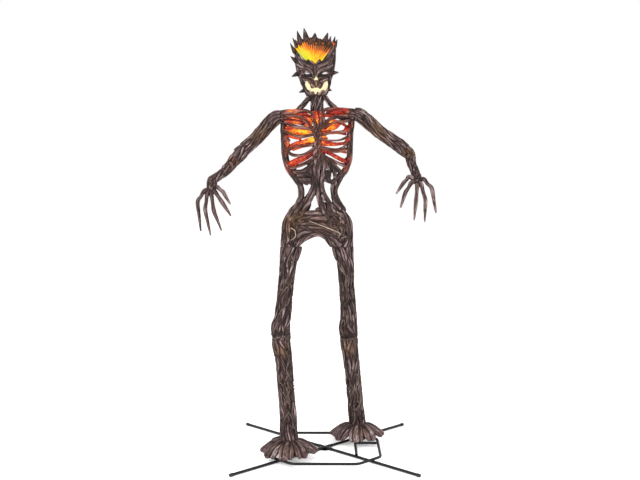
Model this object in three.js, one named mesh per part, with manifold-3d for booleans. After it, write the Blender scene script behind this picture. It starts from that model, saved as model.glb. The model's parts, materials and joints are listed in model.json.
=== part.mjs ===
// A giant free-standing yard skeleton made of charred-root shells over a steel-tube frame.
// Millimetres, +Z up. The figure faces -Y; "right" and "left" are the figure's own, so right is -X.
// The origin is on the ground, under the centre of the stand's cross hub.
import * as THREE from "three";
import { mergeVertices } from "three/addons/utils/BufferGeometryUtils.js";
import Module from "manifold-3d";

const wasm = await Module();
wasm.setup();

// ---------------------------------------------------------------- driving dimensions
const GAP = 0.4; // between pieces that touch
const TUBE_R = 12.7; // every steel tube of the stand and of the inner frame
const TUBE_WALL = 1.5;
const INSERT_GAP = 0.8; // play of swaged ends and spigots that slide into a tube
const SLEEVE_WALL = 2.2;
const POLE_REACH = 787; // hub centre to a pole's capped end, along X and along Y
const HUB_ARM = 90; // hub centre to the mouth of each sleeve
const HUB_PLATE_R = 60;
const HUB_PLATE_T = 3;
const CAP_LENGTH = 32;
const CAP_END = 4; // thickness of a cap's closed end
const BUTTON_R = 4;
const BUTTON_AT = 60; // hub centre to a snap button, along the pole
const BUTTON_PROUD = 2.6;
const RING_HALF_WIDTH = 490;
const RING_FRONT = 567; // hub centre to the ring's front bar
const RING_REAR = 382; // hub centre to the ring's rear bar
const RING_CHAMFER = 205; // how far each corner of the ring is cut off
const RING_BEND = 38; // length taken by a bend, each side of its corner
const PLUG_LENGTH = 60; // how far one half of the ring plugs into the other
const RAIL_X = 279;
const RAIL_FRONT = 321; // hub centre to a rail's front end
const RAIL_CLEAR = 4.6; // a rail's rear end to the rear bar, past a tube's width
const PLATE_SIDE = 120; // foot plate
const PLATE_T = 4;
const SPIGOT_LENGTH = 150;

const FOOT_HEIGHT = 128;
const FOOT_REACH = 262; // ankle to a toe's tip
const HEEL_REACH = 212;
const TOE_R = 34;
const ANKLE_R = 78;
const SHIN_HEIGHT = 842;
const THIGH_HEIGHT = 842;
const SHIN_R = 64;
const KNEE_R = 86;
const THIGH_R = 69;
const HIP_R = 84;
const SHELL_WALL = 4;
const JOINT_COLLAR = 110; // height over which a leg swells at the knee

const PELVIS_HEIGHT = 400;
const PELVIS_HALF_WIDTH = 322;
const PELVIS_FLAT = 0.42; // depth over width of the pelvis shell
const CROTCH_RISE = 92; // hip seam to the top of the arch between the legs
const WAIST_R = 200;
const ABDOMEN_HEIGHT = 230;
const WAIST_HALF_WIDTH = 185;
const WAIST_HALF_DEPTH = 88;
const CHEST_HEIGHT = 585;
const CHEST_HALF_WIDTH = 325;
const CHEST_HALF_DEPTH = 172;
const CHEST_COLUMN_R = 33;
const RIB_R = 19;
const RIB_COUNT = 5;
const RIB_DROP = 46; // how much lower a rib is at the breastbone than at the side
const SHOULDER_R = 58;
const SHOULDER_DROP = 44; // top of the chest to a shoulder's axis
const SHOULDER_BORE = 27;
const COLLAR_WIDTH = 60;
const NECK_LENGTH = 133;
const NECK_R = 62;

const HEAD_HEIGHT = 468;
const HEAD_HALF_WIDTH = 182;
const HEAD_FLAT = 0.9; // depth over width of the head
const FLAME_LOW = 300; // chin to the bottom of the flame window
const SPIKE_LENGTH = 120;
const SPIKE_R = 25;
const SPIKE_COUNT = 12;
const MOTOR_R = 36;
const MOTOR_LENGTH = 70;
const MOTOR_BELOW = 22; // chin to the motor's top
const SHAFT_R = 7;

const ARM_R = 56;
const ARM_WALL = 7;
const ELBOW_R = 60;
const WRIST_R = 33;
const STUB_R = 10; // shoulder stub that an arm turns on
const STUB_LENGTH = 44;
const PALM_R = 42;
const FINGER_R = 13;
const TIP_R = 7;

const BODY_X = -77; // the trunk stands a little to the figure's right of the hub
const BODY_Y = -25;
const SPINE_X = 35; // spine pole, from the trunk's centre

const BOX = { width: 140, depth: 46, height: 170, wall: 3 };
const DOOR_T = 4;
const BUTTON_CAP_R = 6; // the mode button on the control box
const INLET_R = 5.5; // low-voltage inlet in the box's lower end
const LEAD_R = 3.5;
const BOX_Y = PELVIS_HALF_WIDTH * PELVIS_FLAT + GAP; // the box stands against the back of the pelvis

// ---------------------------------------------------------------- heights, from the ground up
const SLEEVE_R = TUBE_R + GAP + SLEEVE_WALL;
const TUBE_SIDES = 12;
const INSERT_R = TUBE_R - TUBE_WALL - INSERT_GAP;
const POLE_Z = SLEEVE_R * Math.cos(Math.PI / TUBE_SIDES); // the sleeves and caps lie on their flats
const RING_Z = POLE_Z + 2 * TUBE_R + GAP;
const SOLE_Z = RING_Z + TUBE_R + GAP;
const ANKLE_Z = SOLE_Z + FOOT_HEIGHT;
const KNEE_Z = ANKLE_Z + SHIN_HEIGHT;
const HIP_Z = KNEE_Z + THIGH_HEIGHT;
const WAIST_Z = HIP_Z + PELVIS_HEIGHT;
const CHEST_Z = WAIST_Z + ABDOMEN_HEIGHT;
const SHOULDER_Z = CHEST_Z + CHEST_HEIGHT - SHOULDER_DROP;
const NECK_Z = CHEST_Z + CHEST_HEIGHT;
const CHIN_Z = NECK_Z + NECK_LENGTH;
const BOX_Z = HIP_Z + 200;
const MOTOR_Z = CHIN_Z - MOTOR_BELOW - MOTOR_LENGTH;

const v3 = (x, y, z) => new THREE.Vector3(x, y, z);
const X = v3(1, 0, 0);
const Z = v3(0, 0, 1);

// The stance: one leg ahead of the other, both arms out and bent forward, fingers hanging.
// Leg and arm points are centres; a finger's points run from its knuckle to its tip, from the wrist.
const SIDES = [
  {
    name: "right",
    sign: -1,
    ankle: v3(-318, -290, ANKLE_Z),
    knee: v3(-392, -165, KNEE_Z + 20),
    hip: v3(-314, -40, HIP_Z),
    toeBar: 0,
    shoulder: v3(BODY_X - CHEST_HALF_WIDTH, BODY_Y, SHOULDER_Z - 12),
    bend: v3(-62, 0, -6),
    elbow: v3(-396, -42, -366),
    wrist: v3(-176, -262, -196),
    fingers: [
      [v3(52, -38, -62), v3(112, -88, -106), v3(172, -108, -204)],
      [v3(38, -52, -104), v3(104, -102, -192), v3(176, -108, -304)],
      [v3(6, -56, -118), v3(32, -96, -266), v3(94, -92, -430)],
      [v3(-28, -54, -116), v3(-42, -96, -256), v3(0, -82, -474)],
      [v3(-56, -46, -96), v3(-108, -80, -190), v3(-86, -66, -436)],
    ],
  },
  {
    name: "left",
    sign: 1,
    ankle: v3(304, 240, ANKLE_Z),
    knee: v3(222, 115, KNEE_Z - 20),
    hip: v3(170, 10, HIP_Z),
    toeBar: 188,
    shoulder: v3(BODY_X + CHEST_HALF_WIDTH + 22, BODY_Y, SHOULDER_Z + 12),
    bend: v3(58, 0, -4),
    elbow: v3(442, -36, -316),
    wrist: v3(82, -268, -246),
    fingers: [
      [v3(-44, -40, -4), v3(-92, -92, -56), v3(-166, -112, -144)],
      [v3(-36, -54, -56), v3(-80, -98, -146), v3(-120, -112, -262)],
      [v3(6, -58, -70), v3(-8, -104, -206), v3(-22, -104, -366)],
      [v3(40, -56, -62), v3(72, -102, -196), v3(68, -104, -380)],
      [v3(62, -44, -18), v3(128, -88, -100), v3(164, -98, -304)],
    ],
  },
];

// ---------------------------------------------------------------- materials
const material = (color, roughness, metalness = 0) =>
  new THREE.MeshStandardMaterial({ color, roughness, metalness });
const STEEL = material(0x1c1d1f, 0.45, 0.6);
const ZINC = material(0x9a9da0, 0.4, 0.9);
const BLACK_PLASTIC = material(0x151515, 0.6);
const BARK = material(0x4a3b35, 0.85);
const EMBER = material(0xe8661a, 0.4);
const FLAME = material(0xf3b21c, 0.4);
const GLOW = material(0xf7efc4, 0.4);

// ---------------------------------------------------------------- solids
function solid(geometry) {
  const bare = geometry.clone();
  bare.deleteAttribute("normal");
  bare.deleteAttribute("uv");
  const merged = mergeVertices(bare, 1e-3);
  return new wasm.Manifold(
    new wasm.Mesh({
      numProp: 3,
      vertProperties: merged.attributes.position.array,
      triVerts: new Uint32Array(merged.index.array),
    }),
  );
}

function geometryOf(body) {
  const mesh = body.getMesh();
  return new THREE.BufferGeometry()
    .setAttribute("position", new THREE.BufferAttribute(mesh.vertProperties, 3))
    .setIndex(new THREE.BufferAttribute(mesh.triVerts, 1));
}

const join = (geometries) => geometryOf(geometries.map(solid).reduce((a, b) => a.add(b)));
const cut = (geometry, tools) =>
  geometryOf(tools.map(solid).reduce((a, b) => a.subtract(b), solid(geometry)));
const keep = (geometry, tool) => geometryOf(solid(geometry).intersect(solid(tool)));
const between = (geometry, low, high) =>
  keep(geometry, block(2000, 2000, high - low, v3(0, 0, (low + high) / 2)));

// Turns +Z to a direction and moves the origin to a point.
function aim(geometry, from, direction) {
  const turn = new THREE.Quaternion().setFromUnitVectors(Z, direction.clone().normalize());
  return geometry.applyQuaternion(turn).translate(from.x, from.y, from.z);
}

// A round bar along +Z from the origin.
const bar = (radius, length, sides = TUBE_SIDES, top = radius) =>
  new THREE.CylinderGeometry(top, radius, length, sides).rotateX(Math.PI / 2).translate(0, 0, length / 2);

const barBetween = (radius, from, to, sides = TUBE_SIDES) =>
  aim(bar(radius, from.distanceTo(to), sides), from, to.clone().sub(from));

const block = (width, depth, height, at) =>
  new THREE.BoxGeometry(width, depth, height).translate(at.x, at.y, at.z);

// A body of revolution about +Z with an open bore.
// The outline and the bore are lists of [radius, height], bottom to top.
function turned(outer, inner, sides = 16) {
  const outline = [...outer, ...[...inner].reverse(), outer[0]].map(([r, z]) => new THREE.Vector2(r, z));
  return new THREE.LatheGeometry(outline, sides).rotateX(Math.PI / 2);
}

const tubePiece = (radius, wall, length, sides = TUBE_SIDES) =>
  turned([[radius, 0], [radius, length]], [[radius - wall, 0], [radius - wall, length]], sides);

const shellOf = (outer, wall, sides = 16) =>
  turned(outer, outer.map(([r, z]) => [r - wall, z]), sides);

// A path through stations, stepped station by station so that a step lies on each of them.
class Stations extends THREE.Curve {
  constructor(points) {
    super();
    this.points = points;
  }
  getPoint(t) {
    const at = t * (this.points.length - 1);
    const i = Math.min(Math.floor(at), this.points.length - 2);
    return this.points[i].clone().lerp(this.points[i + 1], at - i);
  }
  getUtoTmapping(u) {
    return u;
  }
}

// A tapered limb along a smooth curve through the points, with a radius at each.
function limb(points, radii, sides = 6, steps = 2 * (points.length - 1)) {
  const smooth = new THREE.CatmullRomCurve3(points, false, "centripetal");
  const stations = Array.from({ length: steps + 1 }, (_, i) => smooth.getPoint(i / steps));
  const circle = new THREE.Shape(
    Array.from({ length: sides }, (_, i) => {
      const a = (2 * Math.PI * i) / sides;
      return new THREE.Vector2(Math.cos(a), Math.sin(a));
    }),
  );
  const geometry = new THREE.ExtrudeGeometry(circle, { steps, extrudePath: new Stations(stations) });
  const position = geometry.attributes.position;
  const p = v3(0, 0, 0);
  const nearest = () => {
    const away = stations.map((s) => s.distanceToSquared(p));
    return away.indexOf(Math.min(...away));
  };
  for (let i = 0; i < position.count; i++) {
    p.fromBufferAttribute(position, i);
    const step = nearest();
    const at = (step / steps) * (radii.length - 1);
    const k = Math.min(Math.floor(at), radii.length - 2);
    const radius = radii[k] + (radii[k + 1] - radii[k]) * (at - k);
    p.sub(stations[step]).multiplyScalar(radius).add(stations[step]);
    position.setXYZ(i, p.x, p.y, p.z);
  }
  return geometry;
}

// A bent hollow tube through corner points, each inner corner bent over a length each side of it.
function bentTube(corners, radius, wall) {
  const path = corners.flatMap((c, i) => {
    if (i === 0 || i === corners.length - 1) return [c];
    const before = corners[i - 1].clone().sub(c).setLength(RING_BEND).add(c);
    const after = corners[i + 1].clone().sub(c).setLength(RING_BEND).add(c);
    const middle = before.clone().add(after).multiplyScalar(0.25).add(c.clone().multiplyScalar(0.5));
    return [before, middle, after];
  });
  const section = new THREE.Shape().absarc(0, 0, radius, 0, 2 * Math.PI);
  section.holes.push(new THREE.Path().absarc(0, 0, radius - wall, 0, 2 * Math.PI, true));
  return new THREE.ExtrudeGeometry(section, {
    steps: path.length - 1,
    curveSegments: 4,
    extrudePath: new Stations(path),
  });
}

const root = new THREE.Group();

function group(parent, at) {
  const made = new THREE.Group();
  made.position.copy(at);
  parent.add(made);
  return made;
}

function add(parent, name, geometry, finish) {
  const mesh = new THREE.Mesh(geometry, finish);
  mesh.name = name;
  parent.add(mesh);
  return mesh;
}

// Adds a mesh modelled along +Z, standing at a point and leaning along a direction.
function addAlong(parent, name, geometry, finish, at, direction) {
  const mesh = add(parent, name, geometry, finish);
  mesh.position.copy(at);
  mesh.quaternion.setFromUnitVectors(Z, direction.clone().normalize());
  return mesh;
}

// ---------------------------------------------------------------- stand
const stand = group(root, v3(0, 0, 0));
const CORNERS = [
  ["front_right", -1, -1],
  ["front_left", 1, -1],
  ["rear_right", -1, 1],
  ["rear_left", 1, 1],
];
const POLE_START = 28; // hub centre to a pole's inner end
const POLE_END = POLE_REACH * Math.SQRT2;

function buildHub() {
  const centre = v3(0, 0, POLE_Z);
  const arms = CORNERS.map(([, sx, sy]) => v3(sx, sy, 0).normalize());
  const reach = (d, by) => centre.clone().addScaledVector(d, by);
  const sleeves = arms.slice(0, 2).map((d) => barBetween(SLEEVE_R, reach(d, -HUB_ARM), reach(d, HUB_ARM)));
  const plate = bar(HUB_PLATE_R, HUB_PLATE_T, 8);
  const bores = arms.map((d) => barBetween(TUBE_R + GAP, reach(d, POLE_START - GAP), reach(d, HUB_ARM + 1)));
  const hole = (d) => bar(BUTTON_R + GAP, 40, 8).translate(d.x * BUTTON_AT, d.y * BUTTON_AT, POLE_Z);
  const holes = arms.map(hole);
  add(stand, "cross_hub", cut(join([...sleeves, plate]), [...bores, ...holes]), STEEL);
}

function buildPole([name, sx, sy]) {
  const direction = v3(sx, sy, 0).normalize();
  const length = POLE_END - CAP_END - GAP - POLE_START;
  const start = direction.clone().multiplyScalar(POLE_START);
  const hole = bar(BUTTON_R + GAP, 2 * TUBE_R, 8);
  hole.translate(direction.x * BUTTON_AT, direction.y * BUTTON_AT, 0);
  const pole = cut(aim(tubePiece(TUBE_R, TUBE_WALL, length), start, direction), [hole]);
  add(stand, `base_pole_${name}`, pole.translate(0, 0, POLE_Z), STEEL);

  const cap = cut(bar(SLEEVE_R, CAP_LENGTH), [bar(TUBE_R + GAP, CAP_LENGTH)]);
  const closed = join([cap, bar(SLEEVE_R, CAP_END).translate(0, 0, CAP_LENGTH - CAP_END)]);
  const mouth = direction.clone().multiplyScalar(POLE_END - CAP_LENGTH).setZ(POLE_Z);
  addAlong(stand, `pole_cap_${name}`, closed, BLACK_PLASTIC, mouth, direction);

  const stem = bar(BUTTON_R, SLEEVE_R + BUTTON_PROUD - 5, 8).translate(0, 0, 5);
  const flange = bar(BUTTON_R + 2, 1.5, 8).translate(0, 0, 5);
  add(stand, `snap_button_${name}`, join([stem, flange]), ZINC).position.set(
    direction.x * BUTTON_AT,
    direction.y * BUTTON_AT,
    POLE_Z,
  );
}

// The ring lies on the poles, in a front and a rear half that plug together at the sides.
function buildRing() {
  const seamY = (RING_REAR - RING_FRONT) / 2;
  const half = (barY) => {
    const inner = barY - Math.sign(barY) * RING_CHAMFER;
    return [
      v3(-RING_HALF_WIDTH, seamY, RING_Z),
      v3(-RING_HALF_WIDTH, inner, RING_Z),
      v3(-RING_HALF_WIDTH + RING_CHAMFER, barY, RING_Z),
      v3(RING_HALF_WIDTH - RING_CHAMFER, barY, RING_Z),
      v3(RING_HALF_WIDTH, inner, RING_Z),
      v3(RING_HALF_WIDTH, seamY, RING_Z),
    ];
  };
  const front = half(-RING_FRONT);
  const rear = half(RING_REAR);
  front[0].y -= GAP;
  front[5].y -= GAP;
  add(stand, "ring_front", bentTube(front, TUBE_R, TUBE_WALL), STEEL);
  const plug = (x) => {
    const at = (along) => v3(x, seamY + along, RING_Z);
    const swage = barBetween(INSERT_R, at(-PLUG_LENGTH), at(4), 8);
    const shank = barBetween(TUBE_R - TUBE_WALL / 2, at(2), at(20), 8);
    return cut(join([swage, shank]), [barBetween(INSERT_R - TUBE_WALL, at(-PLUG_LENGTH - 1), at(21), 8)]);
  };
  const plugs = [plug(-RING_HALF_WIDTH), plug(RING_HALF_WIDTH)];
  add(stand, "ring_rear", join([bentTube(rear, TUBE_R, TUBE_WALL), ...plugs]), STEEL);
}

// A rail under the foot, the plate welded on it, and the spigot that the shin pole slides over.
function buildFootFrame(side) {
  const railX = side.sign * RAIL_X;
  const along = (y) => v3(railX, y, RING_Z);
  const rail = barBetween(TUBE_R, along(-RAIL_FRONT), along(RING_REAR - 2 * TUBE_R - RAIL_CLEAR));
  const bore = barBetween(TUBE_R - TUBE_WALL, along(-RAIL_FRONT - 1), along(RING_REAR));
  const foot = v3(side.ankle.x, side.ankle.y, SOLE_Z);
  const plate = block(PLATE_SIDE, PLATE_SIDE, PLATE_T, foot.clone().setZ(SOLE_Z + PLATE_T / 2));
  const weld = block(20, PLATE_SIDE, SOLE_Z - RING_Z, v3(railX, side.ankle.y, (SOLE_Z + RING_Z) / 2 + 1));
  const up = side.knee.clone().sub(side.ankle).normalize();
  const base = side.ankle.clone().addScaledVector(up, (SOLE_Z - ANKLE_Z) / up.z);
  const spigot = barBetween(INSERT_R, base, base.clone().addScaledVector(up, FOOT_HEIGHT + SPIGOT_LENGTH));
  const shoe = barBetween(TUBE_R, base, base.clone().addScaledVector(up, 30));
  const pieces = [rail, plate, weld, spigot, shoe];
  if (side.toeBar) {
    const y = side.ankle.y - side.toeBar;
    const outer = side.sign * (RING_HALF_WIDTH - TUBE_R - GAP);
    pieces.push(barBetween(TUBE_R, v3(railX, y, RING_Z), v3(outer, y, RING_Z)));
  }
  add(stand, `foot_frame_${side.name}`, cut(join(pieces), [bore]), STEEL);
  return { base, up };
}

buildHub();
CORNERS.forEach(buildPole);
buildRing();

// ---------------------------------------------------------------- legs
// A foot: a flared hollow shell with toes spread round it.
const TOE_ANGLES = [-96, -56, -18, 20, 58, 98, 180]; // degrees round the ankle, 0 straight ahead
function footGeometry() {
  const outer = [
    [168, 0],
    [160, 30],
    [118, 74],
    [ANKLE_R + 6, FOOT_HEIGHT - 22],
    [ANKLE_R, FOOT_HEIGHT - GAP / 2],
  ];
  const cavity = outer.map(([r, z]) => [r - 3 * SHELL_WALL, z]);
  const toes = TOE_ANGLES.map((degrees) => {
    const a = THREE.MathUtils.degToRad(degrees);
    const reach = degrees === 180 ? HEEL_REACH : FOOT_REACH;
    const at = (r, z) => v3(Math.sin(a) * r, -Math.cos(a) * r, z);
    return limb([at(88, 84), at(160, 46), at(reach - 14, 24)], [26, TOE_R, 20], 5, 3);
  });
  const whole = join([turned(outer, outer.map(([, z]) => [20, z]), LEG_SIDES), ...toes]);
  const plug = turned(
    [[cavity[0][0], -1], ...cavity.slice(1, -1), [cavity[4][0], FOOT_HEIGHT + 20]],
    [[0, -1], [0, FOOT_HEIGHT + 20]],
    LEG_SIDES,
  );
  return cut(whole, [plug, block(700, 700, 100, v3(0, 0, -50))]);
}

// Leg shells run a little past their seams and are then cut level.
const PAST = 24;
const shinProfile = (length) => [
  [ANKLE_R, -PAST],
  [SHIN_R + 6, 70],
  [SHIN_R, 0.5 * length],
  [KNEE_R - 8, length - JOINT_COLLAR],
  [KNEE_R, length - 40],
  [KNEE_R - 8, length + PAST],
];

const thighProfile = (length) => [
  [KNEE_R - 8, -PAST],
  [KNEE_R, 34],
  [KNEE_R - 6, JOINT_COLLAR],
  [THIGH_R, JOINT_COLLAR + 110],
  [THIGH_R + 4, 0.75 * length],
  [HIP_R, length + PAST],
];

const LEG_SIDES = 10;
const POLE_SHOE = 32; // length of the welded shoe that a shin pole stands on
function buildLeg(side, foot) {
  const { ankle, knee, hip } = side;
  const shin = knee.clone().sub(ankle);
  const thigh = hip.clone().sub(knee);
  const leg = group(root, v3(0, 0, 0));
  add(leg, `foot_shell_${side.name}`, footGeometry(), BARK).position.set(ankle.x, ankle.y, SOLE_Z);
  const shinShell = aim(shellOf(shinProfile(shin.length()), SHELL_WALL, LEG_SIDES), ankle, shin);
  add(leg, `shin_shell_${side.name}`, between(shinShell, ankle.z + GAP / 2, knee.z - GAP / 2), BARK);
  const thighShell = aim(shellOf(thighProfile(thigh.length()), SHELL_WALL, LEG_SIDES), knee, thigh);
  add(leg, `thigh_shell_${side.name}`, between(thighShell, knee.z + GAP / 2, hip.z - GAP / 2), BARK);

  const poleFoot = foot.base.clone().addScaledVector(foot.up, POLE_SHOE);
  const shinPole = knee.clone().addScaledVector(foot.up, -20).sub(poleFoot);
  const shinTube = tubePiece(TUBE_R, TUBE_WALL, shinPole.length());
  addAlong(leg, `shin_pole_${side.name}`, shinTube, STEEL, poleFoot, shinPole);

  const thighPole = aim(tubePiece(TUBE_R, TUBE_WALL, thigh.length() - 30), knee, thigh);
  const below = (by) => knee.clone().addScaledVector(foot.up, -by);
  const plug = barBetween(INSERT_R, below(120), knee);
  const collar = barBetween(TUBE_R + 2, below(8), below(-12));
  add(leg, `thigh_pole_${side.name}`, join([thighPole, plug, collar]), STEEL);
}

// ---------------------------------------------------------------- pelvis, inner frame and waist
const trunk = group(root, v3(BODY_X, BODY_Y, 0));
const [RIGHT, LEFT] = SIDES;
const inTrunk = (p) => p.clone().sub(trunk.position);
const CROSSBAR_Z = HIP_Z + CROTCH_RISE + 70;
const SPINE_FOOT = v3(SPINE_X, 0, CROSSBAR_Z);
const SPINE_TOP = SHOULDER_Z - 30;

function buildPelvisFrame() {
  const rods = SIDES.map(({ knee, hip }) => {
    const up = hip.clone().sub(knee).normalize();
    const at = (by) => inTrunk(hip).addScaledVector(up, by);
    return { low: at(-130), seat: at(-29), top: at((CROSSBAR_Z - HIP_Z) / up.z) };
  });
  const pieces = rods.flatMap(({ low, seat, top }) => [
    barBetween(INSERT_R, low, top),
    barBetween(TUBE_R, seat, top),
  ]);
  const crossbar = barBetween(TUBE_R, rods[0].top, rods[1].top);
  const spigot = barBetween(INSERT_R, SPINE_FOOT, v3(SPINE_X, 0, CROSSBAR_Z + 120));
  add(trunk, "pelvis_frame", join([...pieces, crossbar, spigot]), STEEL);

  const spineBase = CROSSBAR_Z + TUBE_R + 6;
  const spine = tubePiece(TUBE_R, TUBE_WALL, SPINE_TOP - spineBase);
  add(trunk, "spine_pole", spine, STEEL).position.set(SPINE_X, 0, spineBase);
}

function buildPelvisShell() {
  const archZ = HIP_Z + CROTCH_RISE;
  const profile = (inset) => [
    [PELVIS_HALF_WIDTH - 24 - inset, archZ + inset],
    [PELVIS_HALF_WIDTH - inset, archZ + 70],
    [PELVIS_HALF_WIDTH - 38 - inset, HIP_Z + 270],
    [WAIST_R + 30 - inset, WAIST_Z - 60],
    [WAIST_R - inset, WAIST_Z + 10],
  ];
  const body = (inset) => {
    const outline = profile(inset);
    const bottom = outline[0][1];
    const top = outline[outline.length - 1][1];
    return turned(outline, [[0, bottom], [0, top]], 12).scale(1, PELVIS_FLAT, 1);
  };
  const hips = (inset) =>
    SIDES.map(({ knee, hip }) => {
      const up = hip.clone().sub(knee).normalize();
      const start = inTrunk(hip).addScaledVector(up, -PAST);
      return aim(bar(HIP_R + 6 - inset, 190 + PAST, 10, HIP_R + 24 - inset), start, up);
    });
  const leadHole = bar(LEAD_R + 2, 40, 8).rotateX(-Math.PI / 2).translate(SPINE_X, BOX_Y - 30, BOX_Z);
  const hollow = cut(join([body(0), ...hips(0)]), [body(SHELL_WALL), ...hips(SHELL_WALL), leadHole]);
  add(trunk, "pelvis_shell", between(hollow, HIP_Z + GAP / 2, WAIST_Z - GAP), BARK);
}

// Open lattice of thick roots between the pelvis and the chest.
function buildAbdomen() {
  const a = WAIST_HALF_WIDTH;
  const b = WAIST_HALF_DEPTH;
  const low = WAIST_Z + 22;
  const high = CHEST_Z - 30;
  const mid = (low + high) / 2;
  const strand = (points, radius) =>
    limb(points.map(([x, y, z]) => v3(x, y, z)), [radius, radius - 3, radius], 5, 2);
  const around = (z, radius) => {
    const section = Array.from({ length: 5 }, (_, i) => {
      const t = (-2 * Math.PI * i) / 5;
      return new THREE.Vector2(a + radius * Math.cos(t), z + radius * Math.sin(t));
    });
    const ring = new THREE.LatheGeometry([...section, section[0]].reverse(), 12);
    return ring.rotateX(Math.PI / 2).scale(1, b / a, 1);
  };
  const strands = [
    strand([[-a, -10, low], [-a + 16, -20, mid], [-a + 10, -16, high]], 26),
    strand([[a, -10, low], [a - 8, -20, mid], [a - 6, -16, high]], 26),
    strand([[-112, -b + 8, low], [-58, -b, mid], [-24, -b, high]], 24),
    strand([[-4, -b, low], [22, -b, mid], [8, -b, high]], 27),
    strand([[96, -b + 10, low], [48, -b, mid], [36, -b, high]], 24),
    strand([[-70, b, low], [-40, b, mid], [-66, b, high]], 26),
    strand([[70, b, low], [30, b, mid], [66, b, high]], 26),
  ];
  const rings = [around(low, 21), around(high, 27)];
  const trim = block(900, 900, ABDOMEN_HEIGHT - 2 * GAP, v3(0, 0, (WAIST_Z + CHEST_Z) / 2));
  add(trunk, "abdomen_lattice", keep(join([...strands, ...rings]), trim), BARK);
}

// ---------------------------------------------------------------- chest
function chestEllipse(degrees, z, inset = 0) {
  const t = THREE.MathUtils.degToRad(degrees);
  const taper = z < CHEST_Z + 120 ? 1 - 0.25 * (1 - (z - CHEST_Z) / 120) : 1;
  const width = (CHEST_HALF_WIDTH - inset) * taper;
  return v3(Math.sin(t) * width, -Math.cos(t) * (CHEST_HALF_DEPTH - inset) * taper, z);
}

const RIB_PITCH = (CHEST_HEIGHT - 190) / (RIB_COUNT - 1);
const ribSideZ = (i) => CHEST_Z + 96 + i * RIB_PITCH;

function chestHalf(front) {
  const turn = front ? 0 : 180;
  const face = front ? -1 : 1;
  const at = (degrees, z) => chestEllipse(turn + degrees, z, CHEST_COLUMN_R);
  const pieces = [];
  for (const s of [-1, 1]) {
    const edge = (z) => at(s * 83, z).setY(face * (CHEST_COLUMN_R + 6));
    const heights = [CHEST_Z + 14, CHEST_Z + 120, CHEST_Z + 0.55 * CHEST_HEIGHT, NECK_Z - 104];
    pieces.push(limb(heights.map(edge), heights.map(() => CHEST_COLUMN_R), 5, 3));
    for (let i = front ? 0 : 1; i < RIB_COUNT; i++) {
      const z = ribSideZ(i);
      const drop = front ? RIB_DROP * (i / (RIB_COUNT - 1) - 0.35) : 0;
      const points = [[4, z - drop], [38, z - 0.6 * drop], [66, z], [84, z]].map(([d, h]) => at(s * d, h));
      pieces.push(limb(points, [RIB_R, RIB_R], 4, 3));
    }
    const low = [[6, CHEST_Z + 30], [45, CHEST_Z + 26], [82, CHEST_Z + 30]].map(([d, h]) => at(s * d, h));
    pieces.push(limb(low, [RIB_R + 6, RIB_R + 6], 5, 3));
    const yoke = [[5, NECK_Z - 60], [40, NECK_Z - 40], [76, NECK_Z - 48]].map(([d, h]) => at(s * d, h));
    pieces.push(limb(yoke, [RIB_R + 8, RIB_R + 8], 5, 3));
  }
  const middle = [CHEST_Z + 16, CHEST_Z + 0.5 * CHEST_HEIGHT, NECK_Z - 34].map((z) => at(0, z));
  pieces.push(limb(middle, [40, 36, 40], 5, 2));
  for (const side of SIDES) {
    const mouth = inTrunk(side.shoulder).addScaledVector(X, -side.sign * GAP);
    const ring = tubePiece(SHOULDER_R, SHOULDER_R - SHOULDER_BORE, COLLAR_WIDTH, 8);
    pieces.push(aim(ring, mouth.clone().addScaledVector(X, -side.sign * COLLAR_WIDTH), v3(side.sign, 0, 0)));
  }
  const half = block(1400, 600, 1400, v3(0, face * (300 + GAP), CHEST_Z + 400));
  const trim = block(1400, 900, 2000, v3(0, 0, CHEST_Z + 1000 + GAP));
  return keep(keep(join(pieces), half), trim);
}

function buildChest() {
  add(trunk, "ribcage_front", chestHalf(true), BARK);
  const back = chestHalf(false);
  for (const side of SIDES) {
    const quarter = block(800, 600, 1400, v3(side.sign * (400 + GAP / 2), 300, CHEST_Z + 400));
    add(trunk, `ribcage_back_${side.name}`, keep(back, quarter), BARK);
  }

  // Moulded ember panel behind the front ribs: one curved band for each rib, on a middle and two side strips.
  const inset = 2 * CHEST_COLUMN_R + 34;
  const wide = CHEST_HALF_WIDTH - inset;
  const deep = CHEST_HALF_DEPTH - inset;
  const wall = 5;
  const band = (z, height, from, to) => {
    const shape = new THREE.Shape().absellipse(0, 0, wide, deep, from, to, false);
    const inner = new THREE.Shape().absellipse(0, 0, wide - wall, deep - wall, to, from, true);
    const outline = new THREE.Shape([...shape.getPoints(3), ...inner.getPoints(3)]);
    return new THREE.ExtrudeGeometry(outline, { depth: height, bevelEnabled: false }).translate(0, 0, z);
  };
  const low = 1.06 * Math.PI;
  const high = 1.94 * Math.PI;
  const bottom = ribSideZ(0) - 24;
  const top = ribSideZ(RIB_COUNT - 1) + 24;
  const bands = Array.from({ length: RIB_COUNT }, (_, i) => band(ribSideZ(i) - 24, 48, low, high));
  const strips = [[low, low + 0.09], [1.5 * Math.PI - 0.13, 1.5 * Math.PI + 0.13], [high - 0.09, high]];
  const panel = join([...bands, ...strips.map(([from, to]) => band(bottom, top - bottom, from, to))]);
  add(trunk, "chest_ember_panel", panel, EMBER);
}

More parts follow.
